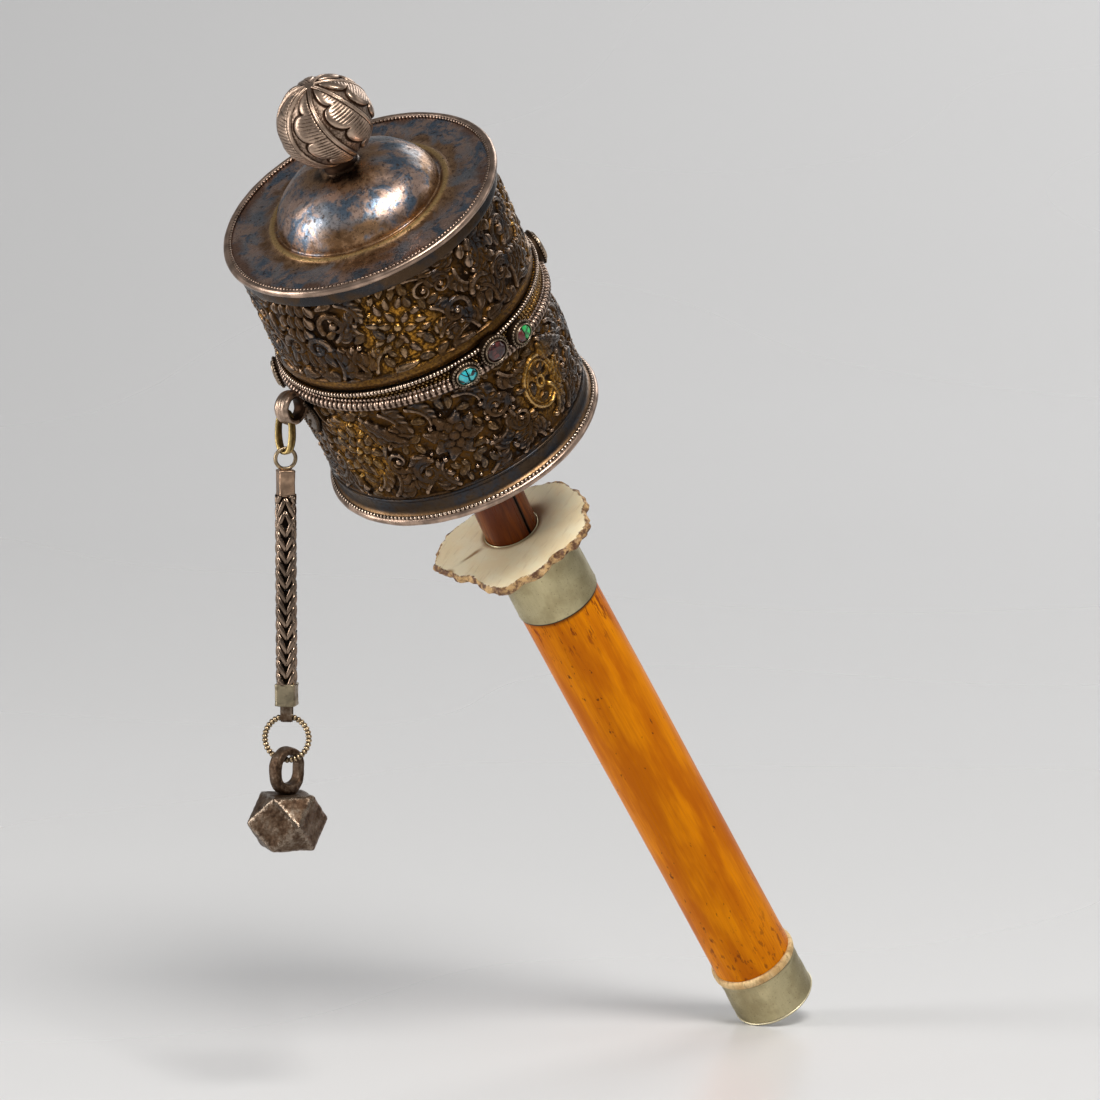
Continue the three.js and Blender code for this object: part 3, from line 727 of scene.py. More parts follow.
CHASED = paint_chased()
WARM_SILVER = paint_silver("worn_silver", (0.44, 0.31, 0.235), (0.03, 0.016, 0.009))
BEAD_SILVER = paint_silver("bead_silver", (0.66, 0.50, 0.38), (0.03, 0.016, 0.009), 0.5, 0.22)
FINIAL_SILVER = paint_silver("finial_silver", (0.47, 0.34, 0.255), (0.030, 0.014, 0.007), 0.40)
BEZEL_SILVER = paint_silver("bezel_silver", (0.36, 0.27, 0.19), (0.03, 0.017, 0.009))
LEAF_SILVER = paint_silver("leaf_silver", (0.13, 0.088, 0.058), (0.012, 0.007, 0.004))
CHAIN_SILVER = paint_silver("chain_silver", (0.24, 0.172, 0.125), (0.008, 0.005, 0.003), 0.7, 0.21)
CAP_SILVER = paint_silver("cap_silver", (0.50, 0.33, 0.22), (0.10, 0.055, 0.03), 0.9)
OLD_NICKEL = paint_silver("old_nickel", (0.30, 0.25, 0.165), (0.05, 0.035, 0.02), 0.8, 0.36)
LID = paint_lid()
SKIRT = paint_skirt()
NICKEL = paint_nickel()
LINK_BRASS = paint_brass("link_brass", (0.46, 0.33, 0.13), (0.07, 0.04, 0.015))
RING_BRASS = paint_brass("ring_brass", (0.44, 0.33, 0.205), (0.06, 0.035, 0.015))
IRON = paint_iron()
BAMBOO = paint_bamboo()
ANTLER = paint_antler()
NECK_WOOD = paint_wood("neck_wood", (0.11, 0.020, 0.002), (0.25, 0.058, 0.005), 0.26,
                       (1, 1, 0.1), 0.04)
PALE_WOOD = paint_wood("pale_wood", (0.52, 0.32, 0.13), (0.74, 0.54, 0.28), 0.5, (1, 1, 0.4))
TURQUOISE = paint_stone("turquoise", (0.02, 0.40, 0.48), (0.06, 0.50, 0.50),
                        (0.006, 0.006, 0.008), 1.5, 0.4, 0.6, 0.1)
GARNET = paint_stone("garnet", (0.022, 0.004, 0.004), (0.085, 0.016, 0.013),
                     (0.01, 0.002, 0.002), 1.4, 0.42, 0.6)
GREEN_STONE = paint_stone("green_stone", (0.02, 0.36, 0.08), (0.05, 0.45, 0.14),
                          (0.01, 0.12, 0.03), 2.6, 0.4, 0.6, 0.1)
RED_STONE = paint_stone("red_stone", (0.07, 0.010, 0.008), (0.24, 0.045, 0.035),
                        (0.03, 0.006, 0.005), 1.6, 0.46, 0.66)


# ---- Chased bands -------------------------------------------------------------------------------


class Relief:
    """A height field round the drum. u runs round it in millimetres from the front, and v runs
    down it in millimetres below the top rim. Later motifs lie over earlier ones."""

    def __init__(self, columns, rows, high, low):
        self.length = TAU * (GROUND + 0.5)
        self.columns = columns
        self.du = self.length / columns
        self.v = np.linspace(high, low, rows)
        self.dv = self.v[1] - self.v[0]
        self.height = np.zeros((columns, rows))
        self.gilt = np.zeros((columns, rows))

    def window(self, u, v, reach):
        i = np.arange(math.floor((u - reach) / self.du), math.ceil((u + reach) / self.du) + 1)
        last = len(self.v)
        j0 = min(max(0, math.floor((v - reach - self.v[0]) / self.dv)), last - 1)
        j1 = max(min(last, math.ceil((v + reach - self.v[0]) / self.dv) + 1), j0 + 1)
        x = i * self.du - u
        y = self.v[j0:j1] - v
        where = np.ix_(i % self.columns, np.arange(j0, j1))
        return where, *np.meshgrid(x, y, indexing="ij")

    def press(self, where, distance, profile, level=0.25, trench=0.22, gilt=None):
        """Lays a motif over what is there. distance is below 0 inside its outline."""
        cover = smoothstep(0.10, -0.10, distance)
        groove = trench * np.exp(-((np.maximum(distance, 0) / 0.30) ** 2))
        old = self.height[where]
        self.height[where] = (old - groove) * (1 - cover) + (level + profile) * cover
        if gilt is not None:
            self.gilt[where] = self.gilt[where] * (1 - cover) + gilt * cover

    def leaf(self, u, v, angle, length, width, bend=0.0, rise=0.5, lobes=0, veins=0.0,
             level=0.25, blunt=1.0, gilt=None):
        """A leaf or petal from its foot at (u, v), bent along its length, angle in degrees from
        the u axis. blunt above 1 rounds its tip."""
        where, x, y = self.window(u, v, length + width)
        c, s = aim(angle)
        along, across = x * c + y * s, -x * s + y * c
        if abs(bend) > 1e-3:
            k = bend / length
            side = 1 / k - across
            turn = np.arctan2(along * np.sign(k), side * np.sign(k))
            along, across = turn / k, 1 / k - np.sign(k) * np.hypot(along, side)
        t = np.clip(along / length, 0, 1)
        half = width * np.sin(np.pi * t ** (0.62 * blunt)) ** 0.75
        if lobes:
            half = half * (1 - 0.30 * np.abs(np.sin(np.pi * lobes * t + 0.6 * np.sign(across))))
        past = np.maximum(np.maximum(-along, along - length), 0)
        aside = np.abs(across) - half
        distance = np.hypot(np.maximum(aside, 0), past)
        distance = np.where((aside < 0) & (past <= 0), aside, distance)
        ratio = np.clip(np.abs(across) / np.maximum(half, 0.05), 0, 1)
        profile = rise * np.sqrt(1 - ratio**2) * (0.55 + 0.45 * np.sin(np.pi * t))
        profile = profile - 0.35 * rise * np.exp(-((across / 0.14) ** 2)) * (veins > 0)
        ribs = np.maximum(0, np.cos(TAU * (along / 0.62 - 0.9 * np.abs(across)))) ** 2
        profile = profile - veins * ribs * ratio * (1 - ratio) * 3
        self.press(where, distance, profile, level, gilt=gilt)

    def stem(self, path, width, rise=0.45, flute=0.0, level=0.2, gilt=None):
        """A raised line along a path of (u, v) points, with a width at each."""
        path = np.asarray(path, float)
        width = np.broadcast_to(width, len(path))
        middle = (path.min(0) + path.max(0)) / 2
        reach = (path.max(0) - path.min(0)).max() / 2 + 2.0
        where, x, y = self.window(*middle, reach)
        x, y = x[..., None], y[..., None]
        gap = np.hypot(x - (path[:, 0] - middle[0]), y - (path[:, 1] - middle[1]))
        near = np.argmin(gap - width, -1)
        across = np.take_along_axis(gap, near[..., None], -1)[..., 0]
        half = width[near]
        ratio = np.clip(across / half, 0, 1)
        profile = rise * np.sqrt(1 - ratio**2) - flute * np.exp(-((across / (0.3 * half)) ** 2))
        self.press(where, across - half, profile, level, gilt=gilt)

    def scroll(self, u, v, start, size, turns, width, way, flute=0.0, bud=0.75, level=0.2):
        """A volute about (u, v) that winds in from the given angle, way 1 or -1 round."""
        t = np.linspace(0, 1, 44)
        angle = math.radians(start) + way * t * turns * TAU
        radius = size * (1 - t) ** 0.85 + 0.25
        path = np.stack([u + radius * np.cos(angle), v + radius * np.sin(angle)], 1)
        self.stem(path, width * (1 - 0.45 * t), flute=flute, level=level)
        self.bead(u, v, bud)

    def spray(self, u, v, angle, length, bend, lobes=5, stout=1.22):
        """A curling leaf: lobes along the outer side of a spine that bends into a curl."""
        t = np.linspace(0, 1, 36)
        heading = math.radians(angle) + bend * t**1.4
        way = -math.copysign(1, bend)
        path = np.stack([u + np.cumsum(np.cos(heading)), v + np.cumsum(np.sin(heading))], 1)
        path = np.array([u, v]) + (path - (u, v)) * length / len(t)
        for k in range(lobes):
            share = k / lobes
            i = int((0.10 + 0.74 * share) * len(t))
            lean = math.degrees(heading[i]) + way * (58 - 22 * share)
            size = length * (0.40 - 0.17 * share) * stout
            self.leaf(*path[i], lean, size, 0.34 * size, -way * 0.95, 0.55, veins=0.06,
                      level=0.22 + 0.05 * share, blunt=1.3)
        self.stem(path, 0.52 * stout * (1 - 0.45 * t), 0.45, flute=0.12, level=0.3)
        self.bead(*path[-1], 0.62 * stout, 0.6)

    def sprays(self, u, draw, rows):
        """Sprays at rows of (x from u, v, angle, length, bend), each a little off its place."""
        for x, v, angle, length, bend in rows:
            x, v = x + draw.uniform(-0.3, 0.3), v + draw.uniform(-0.3, 0.3)
            self.spray(u + x, v, angle + draw.uniform(-6, 6), 1.15 * length, bend)

    def fill(self, draw, high, low):
        """Puts small leaves and beads wherever bare ground is left."""
        for v in np.arange(high, low, 1.9):
            for u in np.arange(0, self.length, 2.1):
                x, y = u + draw.uniform(-0.5, 0.5), v + draw.uniform(-0.4, 0.4)
                angle, kind, bend = draw.uniform(0, 360), draw.random(), draw.uniform(-1, 1)
                where, _, _ = self.window(x, y, 0.55)
                if self.height[where].max() > BARE:
                    continue
                if kind < 0.2:
                    self.bead(x, y, draw.uniform(0.4, 0.6), 0.5)
                else:
                    size = draw.uniform(2.8, 4.2)
                    c, s = aim(angle)
                    self.leaf(x - c * size / 2, y - s * size / 2, angle, size, 0.30 * size,
                              1.3 * bend, 0.45, veins=0.05, level=0.12, blunt=1.25, gilt=0.1)

    def bead(self, u, v, radius, rise=0.6, level=0.3, gilt=None):
        where, x, y = self.window(u, v, radius + 0.8)
        gap = np.hypot(x, y)
        profile = rise * np.sqrt(np.clip(1 - (gap / radius) ** 2, 0, 1))
        self.press(where, gap - radius, profile, level, gilt=gilt)

    def disc(self, u, v, wide, tall, depth, gilt=None, rim=0.0):
        """An oval field, sunk or raised, with a rim of that width round it."""
        where, x, y = self.window(u, v, max(wide, tall) + 1.2)
        scale = np.hypot(x / wide, y / tall)
        gap = (scale - 1) * min(wide, tall)
        profile = np.full_like(gap, depth)
        if rim:
            profile = profile + 0.42 * np.exp(-(((gap + rim) / (0.5 * rim)) ** 2))
        self.press(where, gap, profile, 0.0, gilt=gilt)

    def gild(self, u, v, wide, tall, amount=1.0):
        where, x, y = self.window(u, v, max(wide, tall) * 1.6)
        amount = amount * smoothstep(1.35, 0.7, np.hypot(x / wide, y / tall))
        amount = amount * (0.15 + 0.85 * smoothstep(0.55, 0.25, self.height[where]))
        self.gilt[where] = np.maximum(self.gilt[where], amount)


def blurred(field, reach):
    """Smooths a field that joins up along its first axis."""
    offsets = np.arange(-3 * reach, 3 * reach + 1)
    weights = np.exp(-0.5 * (offsets / reach) ** 2)
    weights /= weights.sum()
    out = sum(w * np.roll(field, o, 0) for o, w in zip(offsets, weights))
    wide = np.pad(out, ((0, 0), (3 * reach, 3 * reach)), "edge")
    rows = field.shape[1]
    return sum(w * wide[:, i : i + rows] for i, w in enumerate(weights))


def upper_motifs(relief, u, draw):
    """One quarter of the upper band about its gilded flower at u."""
    relief.sprays(u, draw, [
        (-9.0, 25.8, -80, 8.5, 1.5), (-10.5, 26.0, -105, 9.5, -1.3), (-13.5, 26.2, -95, 8.0, 1.2),
        (-17.5, 26.4, -60, 9.0, -1.8), (-21.0, 26.0, -110, 9.5, 1.6), (-24.5, 24.0, -85, 8.0, -1.5),
        (-8.5, 14.5, -120, 7.5, 1.9), (-15.0, 15.0, -40, 7.0, -2.1), (-22.5, 14.0, -120, 8.5, 1.8),
        (-12.0, 4.8, 20, 7.5, 2.0), (-19.5, 4.6, 160, 7.5, -2.0), (-25.5, 6.0, 70, 7.0, 1.8),
        (1.5, 4.8, -8, 11.0, 1.5), (9.5, 5.0, 25, 9.5, -1.9), (19.0, 4.4, 170, 7.0, 1.9),
        (8.6, 14.0, 30, 8.0, 2.0), (17.5, 9.0, 100, 8.0, -1.9), (10.5, 26.0, -45, 9.5, 1.8),
        (17.8, 26.0, -110, 9.0, -1.9), (8.2, 22.5, -60, 6.5, 2.0), (20.5, 19.5, -70, 7.5, 1.9),
    ])
    for x, *scroll in [
        (8.8, 9.3, -70, 2.4, 1.2, 0.6, -1, 0.1), (13.4, 9.8, -110, 2.5, 1.3, 0.6, 1, 0.1),
        (14.4, 18.6, 30, 3.4, 1.35, 0.8, -1, 0.14),
        (-14.5, 10.8, 150, 3.6, 1.2, 0.85, 1, 0.14, 1.1),
        (-20.4, 18.6, 20, 2.9, 1.25, 0.7, -1, 0.1),
    ]:
        relief.scroll(u + x, *scroll)
    for x, y, angle, length, width, bend in [
        (10.0, 26.4, 8, 6.6, 1.5, -0.3), (-4.8, 26.2, 5, 6.6, 1.25, -0.3),
        (-10.4, 26.4, 190, 6.0, 1.2, 0.3), (-12.6, 4.6, 175, 5.6, 1.2, -0.4),
    ]:
        relief.leaf(u + x, y, angle, length, width, bend, 0.5, veins=0.14, level=0.3)

    # Gilded flower: leaves set round in two rows on gilded ground.
    v = 15.4
    relief.disc(u, v, 6.4, 8.6, 0.10, gilt=1.0)
    relief.gild(u, v, 8.6, 10.4)
    relief.gild(u, 23.5, 10, 4.0, 0.7)
    for count, out, length, width, start in [(11, 4.3, 3.0, 0.95, 0), (6, 1.5, 2.9, 1.0, 25)]:
        for i in range(count):
            angle = start + i * 360 / count + draw.uniform(-9, 9)
            c, s = aim(angle)
            relief.leaf(u + out * c, v + out * s * 1.25, angle, length * (1 + 0.2 * abs(s)),
                        width, draw.uniform(-0.7, 0.7), 0.42, level=0.24, blunt=1.15,
                        gilt=draw.uniform(0.0, 0.18))
    relief.bead(u, v, 1.0, 0.5, gilt=0.5)

    # Lotus of stacked petals, with leaves under it and a scroll at each side.
    lotus = 26.2
    for row, (y, count, length) in enumerate([(6.0, 5, 4.0), (9.6, 4, 4.2), (13.4, 3, 4.4)]):
        for i in range(count):
            place = i - (count - 1) / 2
            relief.leaf(u + (lotus + place * 2.95), y + 2.0, 270 - place * 11, length, 1.45, 0.0,
                        0.62, veins=0.03, level=0.36 + 0.07 * row, blunt=1.5)
    for x, angle, length in [(lotus, 90, 5.2), (22.6, 120, 5.6), (29.8, 60, 5.6),
                             (24.4, 105, 5.4), (28.0, 75, 5.4)]:
        relief.leaf(u + x, 18.0, angle, length, 1.5, 0.0, 0.55, veins=0.08, level=0.32, blunt=1.2)
    relief.scroll(u + 23.0, 17.0, 180, 2.9, 1.15, 0.95, 1, level=0.42)
    relief.scroll(u + 29.6, 17.2, 0, 2.9, 1.15, 0.95, -1, level=0.42)
    relief.leaf(u + 20.6, 25.6, -8, 6.0, 1.8, 0.25, 0.5, veins=0.16, level=0.35)
    relief.leaf(u + 32.2, 25.8, 188, 5.8, 1.7, -0.25, 0.5, veins=0.16, level=0.35)


def lower_motifs(relief, u, draw):
    """One quarter of the lower band about its flower at u."""
    relief.sprays(u, draw, [
        (-20.5, 39.5, 50, 11.5, -1.0), (-15.0, 39.0, 30, 8.5, 2.0), (-8.5, 38.6, 20, 8.0, 1.9),
        (-8.5, 46.5, 215, 8.0, -2.0), (-7.0, 54.0, 170, 9.0, -2.0), (-12.0, 62.0, -60, 8.5, 1.9),
        (-20.0, 62.0, -45, 9.5, -1.9), (-22.5, 52.0, 60, 8.5, 1.8), (-17.0, 48.0, 120, 7.5, -1.8),
        (-3.0, 62.0, -140, 8.0, 2.0), (4.5, 62.0, -25, 9.0, -2.0), (13.5, 62.5, -45, 9.0, 1.9),
        (20.5, 62.0, -120, 9.0, -1.8), (6.8, 55.0, 15, 8.0, -2.0), (8.0, 40.0, 40, 8.5, 1.9),
        (15.5, 39.0, 60, 9.0, -1.9), (8.5, 47.0, -30, 8.0, 2.1), (14.0, 49.5, 75, 8.5, -1.9),
        (19.5, 41.5, 30, 8.0, 1.9), (18.0, 56.0, 110, 6.5, 1.8), (3.0, 38.8, 0, 7.5, 1.8),
    ])
    for x, *scroll in [
        (11.8, 46.4, -20, 3.1, 1.3, 0.8, 1, 0.14), (16.4, 53.4, 200, 2.8, 1.3, 0.7, -1, 0.1),
        (-9.4, 56.6, 300, 3.3, 1.3, 0.85, -1, 0.14, 1.05),
        (-15.4, 52.4, 60, 2.8, 1.2, 0.7, 1, 0.12),
    ]:
        relief.scroll(u + x, *scroll)
    relief.leaf(u - 19.6, 40.5, 50, 12.0, 2.1, -0.5, 0.6, lobes=5, veins=0.16, level=0.4)

    # Open flower: broad veined petals, in two rounds, about a bud.
    petals = [(200, 6.8, 2.3), (158, 6.0, 2.1), (250, 6.4, 2.1), (20, 6.6, 2.3), (-28, 6.4, 2.2),
              (66, 6.0, 2.2), (112, 6.2, 2.1), (-72, 6.2, 2.2)]
    for angle, length, width in petals:
        c, s = aim(angle)
        relief.leaf(u + 0.8 * c, 49 + 0.8 * s, angle + draw.uniform(-5, 5), length, width,
                    draw.uniform(-0.5, 0.5), 0.55, lobes=2, veins=0.15, level=0.32, blunt=1.5)
    for angle in range(15, 375, 60):
        c, s = aim(angle)
        relief.leaf(u + 0.5 * c, 48.6 + 0.5 * s, angle, 3.4, 1.35, 0.3, 0.5, veins=0.1,
                    level=0.52, blunt=1.5)
    relief.bead(u, 48.6, 1.3, 0.4, 0.7)

    # Oval medallion: a double rim, a raised eye in the middle and sunk drops about it.
    u, v = u + MEDALLION[0], MEDALLION[1]
    relief.gild(u, v, 7.2, 8.8, 0.8)
    relief.disc(u, v, 5.9, 7.5, 0.42, gilt=0.75, rim=0.55)
    relief.disc(u, v, 4.7, 6.1, 0.24, gilt=0.75, rim=0.4)
    for i in range(8):
        angle = i * 45 + 22.5 + draw.uniform(-6, 6)
        c, s = aim(angle)
        relief.leaf(u + 1.9 * c, v + 2.3 * s, angle, 2.2, 0.72, 0.0, -0.5, level=0.28,
                    blunt=1.3, gilt=0.0)
    relief.disc(u, v, 1.5, 1.8, 0.55, gilt=0.9)
    relief.disc(u, v, 0.7, 0.9, 0.0, gilt=0.0)


def gilded_leaves(relief, u, v, draw):
    """A worn gilded flower that hides one of the medallions."""
    relief.disc(u, v, 6.4, 8.0, 0.15, gilt=0.9)
    relief.gild(u, v, 7.6, 9.6)
    for count, out, length in [(9, 3.2, 3.6), (6, 1.0, 3.0)]:
        for i in range(count):
            angle = i * 360 / count + draw.uniform(-10, 10)
            c, s = aim(angle)
            relief.leaf(u + out * c, v + 1.2 * out * s, angle, length, 1.15,
                        draw.uniform(-0.8, 0.8), 0.45, veins=0.08, level=0.25, blunt=1.3,
                        gilt=draw.uniform(0.0, 0.35))
    relief.bead(u, v, 1.0, 0.5, gilt=0.6)


MEDALLION = (25.6, 49.4)  # from a quarter's flower round the drum, and below the top rim
BARE = 0.26  # ground lower than this has no motif on it
BAND_EDGE = 0.30  # height of the plain strips above and below the motifs


def chased_band(relief, motifs, first, seed, plain_high, plain_low):
    """Presses four quarters of motifs, the first at that angle, and returns the hollows."""
    draw = np.random.default_rng(seed)
    relief.height += 0.05 * blurred(draw.normal(size=relief.height.shape), 1) * 3
    start = first * (0.98 * GROUND * math.pi / 180)
    for quarter in range(4):
        motifs(relief, start + quarter * relief.length / 4, draw)
    if motifs is lower_motifs:
        for quarter in (1, 3):
            at = start + quarter * relief.length / 4 + MEDALLION[0]
            gilded_leaves(relief, at, MEDALLION[1], draw)
    relief.fill(draw, plain_high + 0.6, plain_low - 0.6)
    edge = smoothstep(plain_high - 0.2, plain_high + 0.25, relief.v)
    edge = edge * smoothstep(plain_low + 0.2, plain_low - 0.25, relief.v)
    relief.height = 0.5 * relief.height + 0.5 * blurred(relief.height, 1)
    relief.height = relief.height * edge + BAND_EDGE * (1 - edge)
    relief.height += 0.022 * blurred(draw.normal(size=relief.height.shape), 1) * 3
    near_low, wide_low = blurred(relief.height, 3), blurred(relief.height, 9)
    hollow = 2.2 * (relief.height - near_low) + 0.8 * (relief.height - wide_low)
    return np.clip(hollow, -1, 1)


def band_shape(relief, hollow, high_of=None, low_of=None):
    """The band as a closed ring of sheet, whose edges may follow a line round the drum."""
    angle = np.radians(FRONT) + full_turn(relief.columns)
    radius = GROUND + RELIEF * np.clip(relief.height, -0.35, 1.05)
    z = DRUM_TOP - np.repeat(relief.v[None], relief.columns, 0)
    high = z[:, :1] if high_of is None else high_of(angle)[:, None]
    low = z[:, -1:] if low_of is None else low_of(angle)[:, None]
    z = low + (z - z[:, -1:]) * (high - low) / (z[:, :1] - z[:, -1:])
    back = np.full((relief.columns, 2), GROUND - 0.35)
    radius = np.concatenate([radius, back], 1)
    z = np.concatenate([z, z[:, -1:], z[:, :1]], 1)
    return loft(
        round_z(radius, angle[:, None], z),
        True,
        hollow=np.pad(hollow, ((0, 0), (0, 2)), constant_values=-0.6),
        gilt=np.pad(relief.gilt, ((0, 0), (0, 2))),
    )


def rope_height(angle):
    """Height of the rope wire's middle at an angle round the drum."""
    return ROPE_Z - ROPE_RISE * np.cos(angle - math.radians(ROPE_LOW_AT))


def make_bands():
    upper = Relief(BAND_COLUMNS, 144, 3.3, 29.8)
    hollow = chased_band(upper, upper_motifs, -7, 11, 3.8, 26.8)
    # Smooth gilded strip along the lower edge, with a fine ridge above it.
    strip = smoothstep(26.9, 27.4, upper.v)
    wave = 0.25 * np.sin(full_turn(upper.columns) * 23)[:, None]
    ridge = 0.35 * np.exp(-(((upper.v - 27.0 + wave) / 0.26) ** 2))
    swell = 0.34 + 0.16 * np.cos((upper.v - 28.4) * TAU / 2.8)
    upper.height = upper.height * (1 - strip) + swell * strip + ridge
    upper.gilt = np.maximum(upper.gilt, 0.35 * strip)
    hollow = hollow * (1 - strip) + 0.25 * ridge
    put(*ON_DRUM, "upper_band_chased", band_shape(upper, hollow), CHASED, "chased_silver",
        "upper_band")

    lower = Relief(BAND_COLUMNS, 156, 36.6, 63.3)
    hollow = chased_band(lower, lower_motifs, -4, 23, 37.6, 62.5)
    shape = band_shape(lower, hollow, lambda angle: rope_height(angle) - 0.9)
    put(*ON_DRUM, "lower_band_chased", shape, CHASED, "chased_silver", "lower_band")

    # Granulated strip between the two wires: four staggered rows of grains.
    joint = Relief(BAND_COLUMNS, 26, 31.0, 34.6)
    draw = np.random.default_rng(37)
    grains = 186
    for row in range(4):
        for k in range(grains):
            u = (k + 0.5 * (row % 2)) * joint.length / grains
            joint.bead(u, 31.35 + 0.95 * row, 0.52, 0.5, 0.1, gilt=draw.uniform(0.0, 0.4))
    joint.gilt += 0.2
    hollow = np.clip(2.2 * (joint.height - blurred(joint.height, 3)) - 0.1, -1, 1)
    shape = band_shape(joint, hollow, lambda angle: np.full_like(angle, FINE_Z - 0.2),
                       lambda angle: rope_height(angle) + 0.6)
    put(*ON_DRUM, "joint_strip", shape, CHASED, "chased_silver")


make_bands()


# ---- Drum: lid, base and wires ------------------------------------------------------------------


def beaded(radius, count, wire, z, depth=0.32):
    """A beaded wire that runs round the drum. z is its height, or gives it at an angle."""
    steps, sides = 8, 10
    angle = full_turn(count * steps)
    path = round_z(radius, angle, z(angle) if callable(z) else z)
    phase = np.abs(np.sin(angle * count / 2))
    hollow = np.repeat((2.2 * (phase - 0.72))[:, None], sides, 1)
    return swept(path, circle(sides, wire), (0, 0, 1), True, 1 - depth * (1 - phase),
                 hollow=np.clip(hollow, -1, 1))


def plain_wire(radius, wire, z, seed):
    """A drawn wire round the drum, a little uneven, bright along its outer and inner sides."""
    sides, count, unevenness = 14, 288, 0.05
    path = round_z(radius, full_turn(count), z)
    path[:, 2] += unevenness * ripple(path, 30, seed)
    path[:, :2] *= 1 + unevenness / radius * ripple(path, 24, seed + 1)[:, None]
    size = 1 + unevenness * ripple(path, 6, seed + 2)
    section = circle(sides, wire)
    aside = np.abs(section[:, 0]) / wire
    hollow = np.tile(0.35 - 0.5 * np.maximum(0, aside - 0.75), (count, 1))
    return swept(path, section, (0, 0, 1), True, size).marked(hollow=hollow.ravel())


def make_lid():
    top = DRUM_TOP + 0.4
    edge = [(32.3, -4.7), (32.75, -4.5), (32.62, -1.6), (32.5, -0.6), (32.0, 0), (30.5, -0.05),
            (27.0, -0.2), (24.0, -0.1), (22.8, 0.15), (22.2, 0.55), (21.5, 0.8), (20.9, 0.65),
            (20.4, 0.35), (20.0, 0.5)]
    rise = [i / 12 * math.pi / 2 for i in range(1, 12)]
    dome = [(4.6 + 15.4 * math.cos(t), 0.6 + 10.2 * math.sin(t) ** 1.15) for t in rise]
    outside = softened([*edge, *dome, (4.3, 11.3), (4.2, 11.9)])
    inside = [(3.2, 11.9), (3.2, 10.3), (9.0, 8.8), (14.0, 6.0), (18.5, 0.6), (20.0, -0.5),
              (31.4, -0.7), (31.9, -4.7)]
    radius, z = np.concatenate([outside, inside]).T
    points = round_z(radius, full_turn(288)[:, None], z + top)
    on_dome = smoothstep(21, 14, radius) * smoothstep(4.5, 8, radius)
    dents = 0.20 * ripple(points, 13, 31) + 0.07 * ripple(points, 5, 32)
    points[..., 2] += dents * on_dome + 0.06 * ripple(points, 16, 33)
    put(*ON_DRUM, "lid", loft(points, True), LID, "tarnished_silver", "top_cover", sharp=60)


def make_base():
    outside = softened([(31.9, 6.9), (32.45, 6.8), (32.5, 6.3), (32.05, 6.0), (31.95, 5.0),
                        (31.9, 3.9), (32.0, 3.1), (32.35, 2.55), (32.9, 2.15), (33.2, 1.9)])
    inside = [(33.3, 0.9), (31.6, 0.6), (29.8, 2.2), (29.0, 2.7), (14.0, 2.5), (6.6, 2.3),
              (5.9, 2.6), (5.9, 3.4), (29.2, 3.6), (31.2, 4.2), (31.3, 6.9)]
    profile = np.concatenate([outside, inside]) + (0, DRUM_LOW)
    put(*ON_DRUM, "base", turned(profile, 240, True), SKIRT, "tarnished_silver",
        "bottom_cover", sharp=50)


def ribbed_rope():
    """Stout ribs, each parted by a line along the wire's outer and inner sides."""
    count, steps, sides, wire = 150, 8, 16, 1.22
    angle = full_turn(count * steps)
    rib = np.abs(np.sin(angle * count / 2))
    section = circle(sides, wire)
    cleft = np.exp(-((section[:, 1] / wire / 0.22) ** 2))
    shaped = section[None] * (1 - 0.16 * cleft[None, :, None] * rib[:, None, None])
    hollow = 2.0 * (rib[:, None] - 0.62) - 0.8 * cleft[None]
    return swept(round_z(32.6, angle, rope_height(angle)), shaped, (0, 0, 1), True,
                 1 - 0.26 * (1 - rib**0.8), hollow=np.clip(hollow, -1, 1))


def make_wires():
    def under_fine(angle):
        return np.minimum(rope_height(angle) + 1.5, FINE_Z - 0.75)

    low = DRUM_LOW + 0.9
    for name, shape, material, *nodes in [
        ("top_rim", plain_wire(RIM_RADIUS, RIM_WIRE, DRUM_TOP, 41), WARM_SILVER, "top_rim_wire"),
        ("top_rim_beads", beaded(32.25, 210, 0.38, DRUM_TOP + 0.55, 0.30), WARM_SILVER),
        ("bottom_rim", plain_wire(RIM_RADIUS, RIM_WIRE, low, 51), WARM_SILVER, "bottom_rim_wire"),
        ("bottom_rim_beads", beaded(33.0, 190, 0.50, low + 1.05), BEAD_SILVER),
        ("fine_beads", beaded(32.65, 226, 0.55, FINE_Z), BEAD_SILVER, "fine_wire"),
        ("joint_beads", beaded(32.35, 200, 0.42, under_fine), WARM_SILVER),
        ("rope_wire_ribbed", ribbed_rope(), WARM_SILVER, "rope_wire"),
    ]:
        put(*ON_DRUM, name, shape, material, "worn_silver", *nodes)


make_lid()
make_base()
make_wires()


# ---- Drum: settings, lug plate ------------------------------------------------------------------


def on_drum(shape, at, z, radius):
    """From a frame with +Z outwards and +Y up to its place on the drum's side."""
    out = np.array([*aim(at), 0])
    up = np.array([0, 0, 1.0])
    basis = np.stack([np.cross(up, out), up, out], 1)
    return shape.moved(basis, out * radius + up * z)


